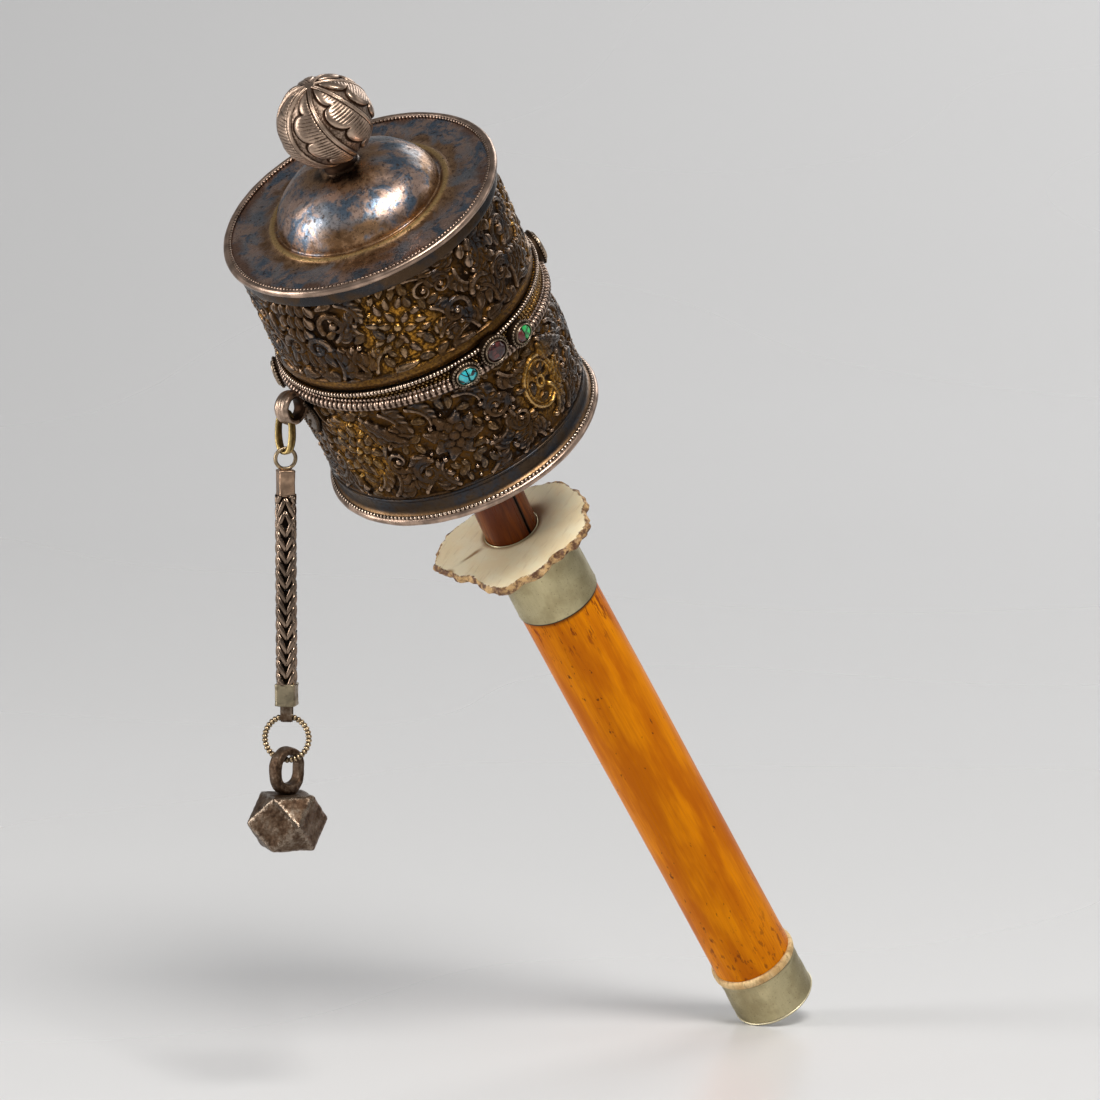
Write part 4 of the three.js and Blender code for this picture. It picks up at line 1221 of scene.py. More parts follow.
def bezel(size, wide, tall):
    """An oval cup with a rolled lip, on a plate edged with beads."""
    cup = [(size * 0.4, -2.2), (size + 0.62, -2.2), (size + 0.66, 0.1), (size + 0.12, 0.3),
           (size + 0.12, 1.05), (size - 0.02, 1.32), (size - 0.2, 1.15), (size - 0.2, 0.5),
           (size * 0.4, 0.4)]
    ring = turned(softened(cup, 2, True), 48, True)
    ring.points *= (wide, tall, 1)
    ring.marked(hollow=np.clip(1.6 * (ring.points[:, 2] - 0.75), -1, 0.7))

    a, b, bead, gap = size * wide, size * tall, 0.34, 0.72
    count = round(TAU * (a + b + 1.2) / 2 / gap)
    angle = full_turn(count * 6)
    path = at_height(np.stack([(a + 0.62) * np.cos(angle), (b + 0.62) * np.sin(angle)], 1), 0.38)
    phase = np.abs(np.sin(angle * count / 2))
    hollow = np.repeat((2.2 * (phase - 0.7))[:, None], 8, 1)
    beads = swept(path, circle(8, bead), (0, 0, 1), True, 1 - 0.36 * (1 - phase), hollow=hollow)
    return merged([ring, beads])


def cabochon(size, wide, tall, rise, seed, facets=0, clip=None):
    """A domed stone, lightly uneven; facets cuts flats on it, clip keeps part of its width."""
    rows, sides, foot = 14, 40, 0.55
    rings = [at_height((size + 0.02) * circle(sides), 0.2)]
    for t in np.arange(rows) / (rows - 1) * math.pi / 2:
        ring = (size * math.cos(t) + 0.02) * circle(sides)
        rings.append(at_height(ring, foot + rise * math.sin(t)))
    points = np.array(rings)
    if facets:
        angle = np.arctan2(points[..., 1], points[..., 0])
        flat = math.pi / facets
        cut = math.cos(flat) / np.cos(np.mod(angle, 2 * flat) - flat)
        points[..., :2] *= cut[..., None] ** 0.6
        points[..., 2] = np.minimum(points[..., 2], foot + rise * 0.82)
    points = points * (wide, tall, 1)
    if clip:
        low, high = clip
        points[..., 0] = np.clip(points[..., 0], low * size * wide, high * size * wide)
        middle = (low + high) / 2 * size * wide
        span = (high - low) / 2 * size * wide
        inside = np.clip(1 - ((points[..., 0] - middle) / span) ** 4, 0, 1)
        points[..., 2] = 0.4 + (points[..., 2] - 0.4) * (0.55 + 0.45 * inside)
    return loft(points + 0.035 * wobble(points, 1.8, seed))


# Degrees round from the front, height below the top rim, size, width, height and stone.
TRIO = [(10.4, 33.6, 2.2, 1.25, 1.0, "turquoise"), (25, 32.4, 2.7, 1.1, 1.0, "garnet"),
        (39.5, 34.1, 2.2, 1.2, 1.0, "green_stone")]
BACK = 170  # from the front group of settings to the back one
SETTINGS = {f"front_{i}": row for i, row in enumerate(TRIO, 1)}
SETTINGS |= {f"back_{i}": (at + BACK, *row) for i, (at, *row) in enumerate(TRIO, 1)}
SETTINGS["right"] = (102, 35, 2.9, 1.25, 1.25, "garnet")
SETTINGS["left"] = (-99, 36, 2.6, 1.1, 1.2, "garnet")


def make_settings():
    for seed, (name, (at, drop, size, wide, tall, stone)) in enumerate(SETTINGS.items(), 60):
        place = (FRONT + at, DRUM_TOP - drop, SETTING_BASE)
        oval = (size - 0.22, wide, tall)
        cup = on_drum(bezel(size, wide, tall), *place)
        put(*ON_DRUM, name + "_setting", cup, BEZEL_SILVER, "chased_silver", name + "_bezel")
        if stone == "turquoise":
            material = TURQUOISE
            gem = merged([cabochon(*oval, 0.95, seed, clip=(-1.0, 0.02)),
                          cabochon(*oval, 1.15, seed + 10, clip=(0.12, 1.0))])
        elif stone == "garnet":
            material = GARNET
            gem = cabochon(*oval, 1.25, seed, facets=8)
        else:
            material = GREEN_STONE
            gem = cabochon(*oval, 1.2, seed, clip=(0.08, 1.0))
            half = on_drum(cabochon(*oval, 1.05, seed + 20, clip=(-1.0, 0.0)), *place)
            put(*ON_DRUM, name + "_red_half", half, RED_STONE, "garnet")
        put(*ON_DRUM, name + "_gem", on_drum(gem, *place), material, stone, name + "_stone")


make_settings()


def grain(x, y, z, radius):
    """One round grain, seated at (x, y, z)."""
    rings = [at_height(radius * max(math.cos(t), 0.05) * circle(8) + (x, y),
                       z + radius * math.sin(t))
             for t in [-0.9 + i / 4 * 2.4 for i in range(5)]]
    ball = loft(np.array(rings))
    return ball.marked(hollow=np.clip((ball.points[:, 2] - z) / radius, -1, 0.8))


def make_lug_plate():
    """A leaf of sheet with a raised edge of grains, curved to the drum."""
    t = np.linspace(0, 1, 40)
    half = 4.3 * np.sin(np.pi * t**0.8) ** 0.7
    y = 3.8 - 10.2 * t
    outline = np.concatenate([np.stack([half, y], 1), np.stack([-half, y], 1)[-2:0:-1]])
    middle = np.array([0, -0.6])
    layers = [(0.05, -0.2), (1.0, -0.2), (1.0, 0.5), (0.93, 0.75), (0.82, 0.6), (0.6, 0.8),
              (0.3, 1.0), (0.05, 1.05)]  # share of the outline, and height
    rings = np.array([at_height(middle + (outline - middle) * share, z) for share, z in layers])
    rings[..., 2] += 0.08 * ripple(rings, 2.0, 90)
    leaf = loft(rings)
    leaf.marked(hollow=np.clip(1.2 * (leaf.points[:, 2] - 0.5), -1, 0.5))
    edge = [grain(*(middle + (corner - middle) * 0.96), 0.72, 0.34) for corner in outline[::2]]
    vein = [grain(*xy, 0.95, 0.45) for xy in [(0, 1.8), (1.2, 0.6), (-1.2, 0.6), (0, -0.6),
                                              (0.9, -1.9), (-0.9, -1.9), (0, -3.2)]]
    whole = merged([leaf, *edge, *vein])
    whole.points[:, 2] -= whole.points[:, 0] ** 2 / (2 * 32.5)
    put(*ON_DRUM, "lug_leaf", on_drum(whole, *LUG_LEAF), LEAF_SILVER, "chased_silver",
        "lug_plate")


make_lug_plate()


# ---- Finial -------------------------------------------------------------------------------------

GORES = 7
RIB_AT = -15.0  # a rib's angle from the front, at the pole
SQUASH = 0.915  # the ball is a little flattened along its axis
LOBES = [12, 47, 84, 117, 150]  # where a leaf's lobes meet, in degrees from the pole
LOBE_FOOT = [0.34, 0.20, 0.27, 0.32]  # how near each lobe comes to the left rib


def finial_relief(theta, angle):
    """Height of the ball's chasing: a lobed leaf in each gore, between sweeping ribs."""
    polar = np.degrees(theta)
    step = 360 / GORES
    swept_by = np.degrees(angle) - RIB_AT - 0.0021 * polar**2
    gore = np.mod(swept_by, step) / step
    number = np.floor(np.mod(swept_by, 360) / step)
    wide = FINIAL_RADIUS * np.sin(theta) * math.radians(step)  # of a gore, in millimetres
    shift = 4.0 * np.sin(2.3 * number + 0.7)

    # Leaf: its lobes swell toward the left rib, and strokes run from them to the right rib.
    leaf_from = np.ones_like(gore)
    bow = np.zeros_like(gore)
    for start, end, foot in zip(LOBES[:-1], LOBES[1:], LOBE_FOOT):
        t = (polar + shift - start) / (end - start)
        inside = (t > 0) & (t < 1)
        round_end = np.sqrt(np.clip(1 - (2 * np.clip(t, 0, 1) ** 0.85 - 1) ** 2, 0, 1))
        leaf_from = np.where(inside, foot + 0.30 * (1 - round_end), leaf_from)
        bow = np.where(inside, round_end, bow)
    depth = (gore - leaf_from) * wide
    puff = np.sqrt(np.clip(1 - (1 - np.clip(depth / 1.7, 0, 1)) ** 2, 0, 1))
    leaf = smoothstep(-0.05, 0.20, depth)
    falls = 0.20 * smoothstep(1.6, 4.5, depth)
    height = -0.50 + leaf * (0.12 + 0.36 * puff + 0.20 * bow * puff - falls)
    slant = polar / 4.3 + 0.9 * gore + 0.15 * np.sin(5 * gore + number)
    line = np.clip(np.cos(TAU * slant), -0.1, 1) ** 2
    hatch = smoothstep(1.0, 2.4, depth) * smoothstep(0.30, 0.7, (1 - gore) * wide)
    height = height - leaf * hatch * 0.17 * line * smoothstep(12, 26, polar)
    height = height - 0.22 * np.exp(-(((depth + 0.25) / 0.3) ** 2))

    # Ribs, each with a fine line down its middle, then the plain pole and foot.
    from_rib = np.minimum(gore, 1 - gore) * wide
    rib = smoothstep(0.62, 0.35, from_rib) * (1 - 0.45 * np.exp(-((from_rib / 0.13) ** 2)))
    for share, level in [(smoothstep(0.95, 0.6, from_rib), -0.42 + 0.44 * rib),
                         (smoothstep(8, 4, polar), -0.05), (smoothstep(150, 160, polar), -0.35)]:
        height = height * (1 - share) + level * share
    return height


def make_finial():
    """A ball chased with leaves between ribs that sweep down from its pole, on a collar."""
    theta = np.linspace(0.012, math.pi - 0.02, 200)[:, None]
    angle = full_turn(420)[None]
    height = finial_relief(theta, angle)
    smooth, wider = blurred(height.T, 2).T, blurred(height.T, 7).T
    hollow = 1.7 * (height - smooth) + 1.4 * (height - wider)
    radius = FINIAL_RADIUS - 0.10 + height
    points = round_z(radius * np.sin(theta), angle + math.radians(FRONT),
                     FINIAL_Z + SQUASH * radius * np.cos(theta))
    right, up = FINIAL_OFF
    points += np.array([*aim(FRONT + 90), 0]) * right
    points[..., 2] += up
    ball = loft(points, hollow=np.clip(hollow, -1, 1))
    put(DRUM, "handle", "finial_ball", ball, FINIAL_SILVER, "worn_silver", "finial")

    low, high = DRUM_TOP + 11.9, FINIAL_Z - 10.6
    collar = softened([(2.5, low), (4.3, low), (4.2, low + 0.35), (3.5, low + 0.75),
                       (3.3, high - 0.2), (3.4, high + 1.2), (2.5, high + 1.2)], 2, True)
    # The collar is painted dark, as painted shade under the ball.
    neck = turned(collar, 64, True).marked(hollow=-0.6)
    put(DRUM, "handle", "finial_neck", neck, FINIAL_SILVER, "brass", "finial_collar")


make_finial()


# ---- Handle -------------------------------------------------------------------------------------


def sheet_dents(angle, z, depth, wavelength, seed):
    """Unevenness of a tube's skin about 9 mm from its axis."""
    return depth * ripple(round_z(9, angle, z), wavelength, seed)


def make_cane():
    def cane(angle, z):
        oval = 0.07 * np.cos(2 * angle + 0.7) + 0.05 * np.cos(angle - z / 40)
        return oval + 0.05 * np.sin(z / 17.0)

    # Each end steps in and runs on inside its ferrule, and a bore runs the whole length.
    hidden, bore, inside = GRIP_RADIUS - 1.1, 7.2, GRIP_HALF + 14
    length = np.linspace(-GRIP_HALF + 0.1, GRIP_HALF - 0.1, 90)
    outside = [(hidden, -inside), (hidden, -GRIP_HALF - 0.2),
               *[(GRIP_RADIUS - 0.02, z) for z in length],
               (hidden, GRIP_HALF + 0.2), (hidden, inside), (bore, inside), (bore, -inside)]
    put(*ON_HANDLE, "cane", turned(outside, 96, True, cane), BAMBOO, "bamboo", "grip", sharp=40)


def make_upper_ferrule():
    """A cup with a turned-in top, a lapped seam and a rolled lower lip."""
    lip = [(9.75, -0.05), (FERRULE - 0.02, -0.05), (FERRULE + 0.03, 0.4), (FERRULE - 0.06, 0.9)]
    wall = [(FERRULE - 0.08 - 0.12 * t, 1.5 + 15.6 * t) for t in np.linspace(0, 1, 24)]
    outline = [(radius, GRIP_HALF + z) for radius, z in lip + wall]
    outline += [(FERRULE - 0.25, UPPER_TOP - 0.6), (FERRULE - 0.7, UPPER_TOP - 0.05),
                (6.0, UPPER_TOP), (2.6, UPPER_TOP), (2.6, UPPER_TOP - 0.7),
                (9.6, UPPER_TOP - 0.8)]

    def dented(angle, z):
        seam = 0.16 * smoothstep(0.05, 0.02, np.abs(np.mod(angle - 2.4, TAU) - math.pi))
        return (sheet_dents(angle, z, 0.07, 8, 101) + seam) * (z > GRIP_HALF + 0.2)

    cup = turned(outline, 128, True, dented)
    cup.marked(hollow=-smoothstep(0.45, 0.1, cup.points[:, 2] - GRIP_HALF))
    put(*ON_HANDLE, "upper_ferrule_cup", cup, NICKEL, "nickel_silver", "upper_ferrule", sharp=45)


def make_end_ferrule():
    """A tube, and the disc soldered into it, with a bright line where they meet."""
    lip = [(9.7, 0), (FERRULE - 0.02, 0), (FERRULE + 0.1, -0.35), (FERRULE - 0.05, -0.8)]
    wall = [(FERRULE - 0.06 + 0.05 * t, -1.2 - 9.6 * t) for t in np.linspace(0, 1, 18)]
    outline = [(radius, END_TOP + z) for radius, z in lip + wall]
    outline += [(FERRULE, END_LOW + 0.35), (9.7, END_LOW + 0.3)]

    def dented(angle, z):
        return sheet_dents(angle, z, 0.08, 7, 103) + sheet_dents(angle, z, 0.04, 2.5, 104)

    tube = turned(outline, 128, True, dented).marked(hollow=0.0)
    put(*ON_HANDLE, "end_ferrule_tube", tube, NICKEL, "nickel_silver", "end_ferrule", sharp=45)

    outline = [(0.02, END_LOW + 0.2), (9.6, END_LOW + 0.2), (FERRULE + 0.08, END_LOW + 0.25),
               (FERRULE + 0.2, END_LOW - 0.05), (FERRULE - 0.1, END_LOW - 0.45),
               (FERRULE - 0.9, FOOT_LOW + 0.08), (9.0, FOOT_LOW), (0.02, FOOT_LOW)]
    disc = turned(softened(outline), 128)
    disc.marked(hollow=smoothstep(END_LOW - 0.25, END_LOW + 0.15, disc.points[:, 2]))
    disc.points[:, :2] *= 1 + (0.010 * ripple(disc.points, 9, 105))[:, None]
    put(*ON_HANDLE, "foot", disc, NICKEL, "nickel_silver", "foot_disc")


def make_grip_ring():
    low, high = -GRIP_HALF - 2.15, -GRIP_HALF - 0.05
    section = softened([(9.3, low), (10.75, low), (11.0, low + 0.6), (10.95, high - 0.5),
                        (10.6, high), (9.3, high)], 2, True)
    ring = turned(section, 120, True, lambda angle, z: sheet_dents(angle, z, 0.10, 6, 107))
    put(*ON_HANDLE, "grip_ring_wood", ring, PALE_WOOD, "pale_wood", "grip_ring")


make_cane()
make_upper_ferrule()
make_end_ferrule()
make_grip_ring()


# ---- Washer and neck ----------------------------------------------------------------------------


# Rings of the washer's skin: share of the way from bore to edge, height, and how burnt it is.
WASHER_RINGS = [
    (0.0, -2.45, 0), (0.35, -2.6, 0), (0.9, -2.55, 0.4), (0.975, -2.25, 1), (1.0, -1.7, 1),
    (1.015, -1.1, 1), (1.0, -0.55, 1), (0.985, -0.2, 1), (0.965, -0.03, 0.75), (0.93, 0.0, 0.15),
    (0.86, 0.0, 0), (0.7, 0.0, 0), (0.5, 0.0, 0), (0.3, 0.0, 0), (0.12, 0.0, 0),
    (0.03, -0.02, 0), (0.0, -0.3, 0.15),
]


def washer_outline(sides):
    """Its radius at even angles from the front, knobbly like the skin of an antler."""
    at = np.arange(sides) * 360 / sides
    known = sorted((a + turn, r) for a, r in WASHER_EDGE for turn in (-360, 0, 360))
    edge = np.interp(at, *np.array(known).T)
    kernel = np.hanning(17)
    edge = np.convolve(np.tile(edge, 3), kernel / kernel.sum(), "same")[sides : 2 * sides] + 0.1
    ring = at_height(circle(sides, 14, math.radians(FRONT)), 0)
    return edge - 0.25 + 0.50 * ripple(ring, 5.5, 111) + 0.22 * ripple(ring, 2.4, 112)


def washer_stains_and_shade(points, crack):
    """The crack's shade, a brown shadow in and behind the bore, and a spot at the left edge."""
    bearing, reach = bearing_of(points), np.hypot(points[:, 0], points[:, 1])
    from_bore = np.hypot(points[:, 0] - NECK_SHIFT[0], points[:, 1] - NECK_SHIFT[1])
    bore = 0.75 * smoothstep(8.6, 7.0, from_bore)
    behind = 0.95 * np.exp(-(((bearing - 105) / 30) ** 2)) * smoothstep(13.5, 7.8, reach)
    spot = np.exp(-(((bearing + 70) / 5) ** 2 + ((reach - 18.2) / 1.2) ** 2))
    return np.clip(0.9 * crack + bore + behind + 0.9 * spot, 0, 1)


def bearing_of(points):
    """Degrees from the front, from -180 to 180."""
    bearing = np.degrees(np.arctan2(points[:, 1], points[:, 0])) - FRONT
    return np.mod(bearing + 180, 360) - 180


def make_washer():
    """A slice of antler: smooth faces, and a knobbly scorched skin round its edge."""
    sides = 300
    around = circle(sides, 1.0, math.radians(FRONT))
    centre = np.array(NECK_SHIFT)
    inner = centre + (NECK_RADIUS + 0.15) * around
    outer = np.array(WASHER_SHIFT) + washer_outline(sides)[:, None] * around
    out = (outer - centre) / np.linalg.norm(outer - centre, axis=1, keepdims=True)
    rings = []
    for share, z, _ in WASHER_RINGS:
        ring = at_height(inner + (outer - inner) * share, z)
        rough = smoothstep(0.94, 1.0, share)
        knob = 0.50 * ripple(ring * (1, 1, 1.3), 4.0, 113) + 0.26 * ripple(ring, 1.8, 114)
        ring[:, :2] += out * (rough * knob)[:, None]
        ring[:, 2] += rough * 0.30 * ripple(ring, 3.0, 115)
        face = (1 - rough) * (z > -0.5)
        ring[:, 2] += face * (0.05 * ripple(ring, 9, 116) - 0.07 * smoothstep(0.75, 0.95, share))
        rings.append(ring)
    slab = loft(np.array(rings), True)

    # A crack to the left of the neck, by its distance in millimetres from a wandering line.
    points = slab.points
    bearing, reach = bearing_of(points), np.hypot(points[:, 0], points[:, 1])
    wander = 3.0 * ripple(points, 5, 117)
    away = (bearing + 72 + 1.6 * wander) * reach / 57  # about 57 degrees to a radian
    crack = np.exp(-((away / 0.95) ** 2))
    crack = crack * smoothstep(7.2, 8.5, reach) * smoothstep(16.5, 13, reach)
    burnt = np.repeat([float(row[2]) for row in WASHER_RINGS], sides)
    # A stain, with painted shade in the crack and painted shadow round the bore.
    slab.marked(edge=burnt, stain=washer_stains_and_shade(points, crack))
    slab.points[:, 2] -= 0.08 * crack * (points[:, 2] > -0.2)
    put(DRUM, "handle", "washer", slab, ANTLER, "antler", "antler_washer", sharp=70)

    # A thin nickel collar that shows between neck and washer, set to the bright tone as a painted glint.
    section = [(6.62, -0.6), (6.95, -0.6), (6.95, 0.10), (6.75, 0.16), (6.62, 0.05)]
    collar = turned(softened(section, 1, True), 96, True).moved(None, (*NECK_SHIFT, 0))
    put(DRUM, "handle", "neck_collar", collar.marked(hollow=0.6), NICKEL, "nickel_silver")


def make_neck():
    """Split wooden sleeve between washer and drum."""
    split = math.radians(FRONT + 35.5)
    gap = 0.028  # half the split, in radians
    angle = split + gap + (TAU - 2 * gap) * np.linspace(0, 1, 160)
    outer, inner = NECK_RADIUS - 0.03, 3.1
    section = softened([(inner, -2.3), (outer - 0.1, -2.3), (outer, -1.9),
                        (outer, NECK_TOP - 0.5), (outer - 0.4, NECK_TOP), (inner, NECK_TOP)],
                       1, True)
    radius, z = section.T
    near = np.minimum(angle - split, split + TAU - angle)
    lip = 0.10 * np.exp(-((near / 0.05) ** 2))[:, None]
    steps = round_z(radius - lip * (radius > 5), angle[:, None], z)
    steps[..., :2] *= 1 + 0.004 * ripple(steps * (1, 1, 0.2), 5, 121)[..., None]
    sleeve = loft(steps).moved(None, (*NECK_SHIFT, 0))
    sleeve.marked(hollow=np.repeat(-1.2 * np.exp(-((near / 0.07) ** 2)), len(section)))
    put(DRUM, "handle", "neck_sleeve_wood", sleeve, NECK_WOOD, "neck_wood", "neck_sleeve",
        sharp=40)


make_washer()
make_neck()


# ---- Lug, link and rings ------------------------------------------------------------------------


def upright_path(radius, count, centre_z, stretch=0.0):
    """Ring of points in the XZ plane, pulled taller by stretch, and their angles round it."""
    angle = full_turn(count)
    z = radius * np.sin(angle) + np.sign(np.round(np.sin(angle), 6)) * stretch / 2
    return np.stack([radius * np.cos(angle), np.zeros(count), z + centre_z], 1), angle


def upright(path, section, size, degrees, **marks):
    """A closed ring of wire along an upright path, turned about Z. Its section's first axis
    points inward."""
    return swept(path, section, (0, 1, 0), True, size, **marks).moved(turn_z(degrees))


def grooved(section, at, depth, width):
    """Cuts lines into the outer side of a ring's section, at the given places across it."""
    x, y = section[:, 0], section[:, 1]
    cut = sum(np.exp(-(((y - a) / width) ** 2)) for a in at) * (-x > 0.3 * np.abs(x).max())
    return np.stack([x + depth * cut, y], 1)


def make_lug():
    """A stout cuff rolled from thick sheet, on a stem that enters the drum behind the leaf."""
    path, angle = upright_path(3.12, 96, 0)
    section = grooved(rounded_box(2.1, 3.9, 2.3, 48), (-0.7, 0.5), 0.26, 0.20)
    eye = upright(path, section, 1 + 0.05 * np.cos(angle - 2.6), 47)
    eye.points += 0.05 * wobble(eye.points, 2.4, 131)
    eye.moved(None, LUG_CENTRE)
    # The ring's inner side is painted dark, as painted shade inside the cuff.
    inward = np.tile(section[:, 0] > 0.3, len(path))
    worn = 0.25 + 0.45 * ripple(eye.points, 2.2, 135)
    eye.marked(hollow=np.clip(np.where(inward, -1.0, worn), -1, 0.5))

    radius, z = LUG_STEM_END
    end = DRUM[1] + radius * (DRUM[0] @ [*aim(LUG_AT), 0]) + z * DRUM[0][:, 2]
    end = CHAIN[0].T @ (end - CHAIN[1])
    start = np.array(LUG_CENTRE) + (2.2, 2.0, 0.3)
    knee = 0.5 * (start + end) + (0.0, 0.4, -0.6)
    t = np.linspace(0, 1, 16)[:, None]
    line = (1 - t) ** 2 * start + 2 * t * (1 - t) * knee + t**2 * end
    stem = swept(line, circle(16, 1.7), (0, 1, 0), scale=1 - 0.12 * np.sin(np.pi * t[:, 0]))
    # The stem is painted dark too, as painted shade behind the cuff.
    lug = merged([eye, stem.marked(hollow=-0.9)])
    put(CHAIN, "drum", "lug", lug, FINIAL_SILVER, "worn_silver", "lug_eye")


def make_links():
    """The oval link, the small ring and the beaded ring."""
    angle = full_turn(120)
    c, s = np.cos(angle), np.sin(angle)
    x = 2.1 * np.sign(c) * np.abs(c) ** 0.85
    rise = (LINK_TOP - LINK_LOW) / 2 * np.sign(s) * np.abs(s) ** 0.92
    path = np.stack([x, np.zeros(120), (LINK_TOP + LINK_LOW) / 2 + rise], 1)
    section = grooved(rounded_box(0.92, 2.1, 3.6, 32), (0.1,), 0.10, 0.14)
    link = upright(path, section, 1 + 0.05 * np.cos(3 * angle + 1), -38)
    link.marked(hollow=np.clip(0.2 * ripple(link.points, 2, 136), -0.5, 0.3))
    put(CHAIN, "link", "oval_link_flat", link, LINK_BRASS, "brass", "oval_link")

    # The small ring is flattened where the upper cap holds it.
    path, angle = upright_path(SMALL_RING_RADIUS, 64, SMALL_RING_Z)
    lowest = SMALL_RING_Z - SMALL_RING_RADIUS + 0.08 + 0.05 * path[:, 0] ** 2
    path[:, 2] = np.maximum(path[:, 2], lowest)
    small = upright(path, circle(12, 0.46), 1 + 0.05 * np.cos(2 * angle), 16)
    put(CHAIN, "chain_top", "small_ring_wire", small.marked(hollow=0.0), RING_BRASS, "brass",
        "small_ring")

    beads, steps, sides = 34, 9, 12
    path, angle = upright_path(BEADED_RING_RADIUS, beads * steps, BEADED_RING_Z)
    phase = np.abs(np.sin(angle * beads / 2))
    hollow = np.repeat((2.0 * (phase - 0.62))[:, None], sides, 1)
    ring = upright(path, circle(sides, 0.76), 1 - 0.36 * (1 - phase**1.1), -6, hollow=hollow)
    put(CHAIN, "beaded_ring", "beaded_ring_wire", ring, RING_BRASS, "brass", "beaded_ring")


make_lug()
make_links()


# ---- Woven chain --------------------------------------------------------------------------------


def square_sleeve(half, low, high, seed, corner=7.0):
    """A cap of bent sheet: square with rounded corners, slightly dented, its ends drawn in."""
    section = rounded_box(2 * half, 2 * half, corner, 48)
    heights = [low, low, low + 0.12, low + 0.35, *np.linspace(low + 0.8, high - 0.8, 9),
               high - 0.35, high - 0.12, high, high]
    shares = [0.62, 0.93, 1.03, 1.04, *np.full(9, 1.0), 1.04, 1.02, 0.93, 0.62]
    rings = np.array([at_height(section * share, z) for share, z in zip(shares, heights)])
    cap = loft(rings + 0.05 * wobble(rings, 3.4, seed))
    return cap.marked(hollow=np.clip(0.1 + 0.5 * ripple(cap.points, 2.2, seed + 5), -1, 0.4))


def chevron(z, side, half, seed, way=1):
    """One arm pair of a loop as it shows on a side: a V, or for way -1 an arch."""
    draw = np.random.default_rng(seed)
    t = np.linspace(-1, 1, 21)
    rise = 3.9 * np.abs(t) ** 1.15 - 0.4 * np.cos(np.pi * t) + draw.uniform(-0.3, 0.3) * t
    out = half - 0.55 + 0.55 * np.cos(np.pi * (np.abs(t) - 0.45)) - 0.4 * (np.abs(t) > 0.93)
    x = half * 1.06 * t + draw.uniform(-0.16, 0.16)
    path = np.stack([x, -out, z + way * rise + draw.uniform(-0.22, 0.22)], 1)
    wire = swept(path, circle(10, 0.60), (0, -1, 0), scale=1 - 0.40 * np.abs(t) ** 5)
    wire.marked(hollow=np.clip((-wire.points[:, 1] - (half - 0.35)) / 0.6, -1, 0.8))
    return wire.moved(turn_z(90 * side))


def make_weave():
    """Chevrons down all four sides of a dark core, shared out to the chain's bodies. The first
    row under the upper cap are arches."""
    half = 1.95
    for i, body in enumerate(CHAIN_BODIES):
        top, low = CHAIN_TOP - i * PITCH, CHAIN_TOP - (i + 1) * PITCH
        # The core is painted near black, as painted shade inside the weave.
        pieces = [square_sleeve(1.25, low + 0.1, top - 0.1, 140 + i, 3.0).marked(hollow=-0.9)]
        for side in range(4):
            for k in range(-1, 17):
                z = CHAIN_LOW - 1.2 + (side % 2) * WEAVE / 2 + k * WEAVE
                if not low <= min(max(z + 2.0, CHAIN_LOW), CHAIN_TOP - 0.1) < top:
                    continue
                seed = 1000 * side + k + 9
                if z > CHAIN_TOP - 2.6 * WEAVE:
                    pieces.append(chevron(z + 2.2, side, half, seed, -1))
                else:
                    pieces.append(chevron(min(z, CHAIN_TOP - 2.2), side, half, seed))
        shape = merged(pieces)
        shape.points[:, 2] = np.clip(shape.points[:, 2], CHAIN_LOW - 0.3, CHAIN_TOP + 0.3)
        put(CHAIN, body, f"chain_weave_{i + 1}", shape, CHAIN_SILVER, "chain_silver",
            f"woven_chain_{i + 1}")


def make_caps():
    upper = square_sleeve(1.95, CHAIN_TOP, UPPER_CAP_TOP, 150).moved(turn_z(17))
    put(CHAIN, "chain_top", "upper_cap_sheet", upper, CAP_SILVER, "chain_silver", "upper_cap")
    lower = square_sleeve(2.42, LOWER_CAP_LOW, CHAIN_LOW, 160).moved(turn_z(-12))
    put(CHAIN, "chain_end", "lower_cap_sheet", lower, OLD_NICKEL, "nickel_silver", "lower_cap")

    # Strap folded round the beaded ring's wire.
    straight = np.linspace(LOWER_CAP_LOW - 0.05 - STRAP_Z, 0.2, 8)
    bend = np.linspace(0, math.pi, 15)[1:-1]
    radius = 1.12
    x = np.concatenate([np.full(8, -radius), -radius * np.cos(bend), np.full(8, radius)])
    z = np.concatenate([straight, -radius * np.sin(bend), straight[::-1]])
    path = np.stack([x, np.zeros(len(x)), z + STRAP_Z], 1)
    strap = swept(path, rounded_box(0.55, 2.8, 5.0, 16), (0, 1, 0)).moved(turn_z(84))
    strap.marked(edge=np.clip(0.2 + 0.3 * ripple(strap.points, 2, 170), 0, 1))
    put(CHAIN, "chain_end", "strap", strap, IRON, "iron", "strap_loop", sharp=50)


make_weave()
make_caps()


# ---- Weight -------------------------------------------------------------------------------------


def cube_mesh(count):
    """Directions over a cube's six faces, closer together near its edges, and their quads."""
    grid = np.tan(np.linspace(-1, 1, count) * math.pi / 4)
    a, b = np.meshgrid(grid, grid, indexing="ij")
    parts = [a, b, np.ones_like(a)]
    sides = []
    for axis in range(3):
        for sign in (-1, 1):
            order = [(k - axis - 1) % 3 for k in range(3)]
            sides.append(np.stack([parts[n] * (sign if n == 2 else 1) for n in order], -1))
    rays = np.array(sides).reshape(-1, 3)
    rays = rays / np.linalg.norm(rays, axis=1, keepdims=True)
    keys, index = np.unique(np.round(rays, 6), axis=0, return_inverse=True)
    index = index.reshape(6, count, count)
    corners = [index[:, :-1, :-1], index[:, 1:, :-1], index[:, 1:, 1:], index[:, :-1, 1:]]
    faces = []
    for quads in np.stack(corners, -1).reshape(6, -1, 4):
        corner = keys[quads[0]]
        outward = np.dot(np.cross(corner[1] - corner[0], corner[2] - corner[0]), corner[0])
        faces.append(quads if outward > 0 else quads[:, ::-1])
    return keys / np.linalg.norm(keys, axis=1, keepdims=True), faces


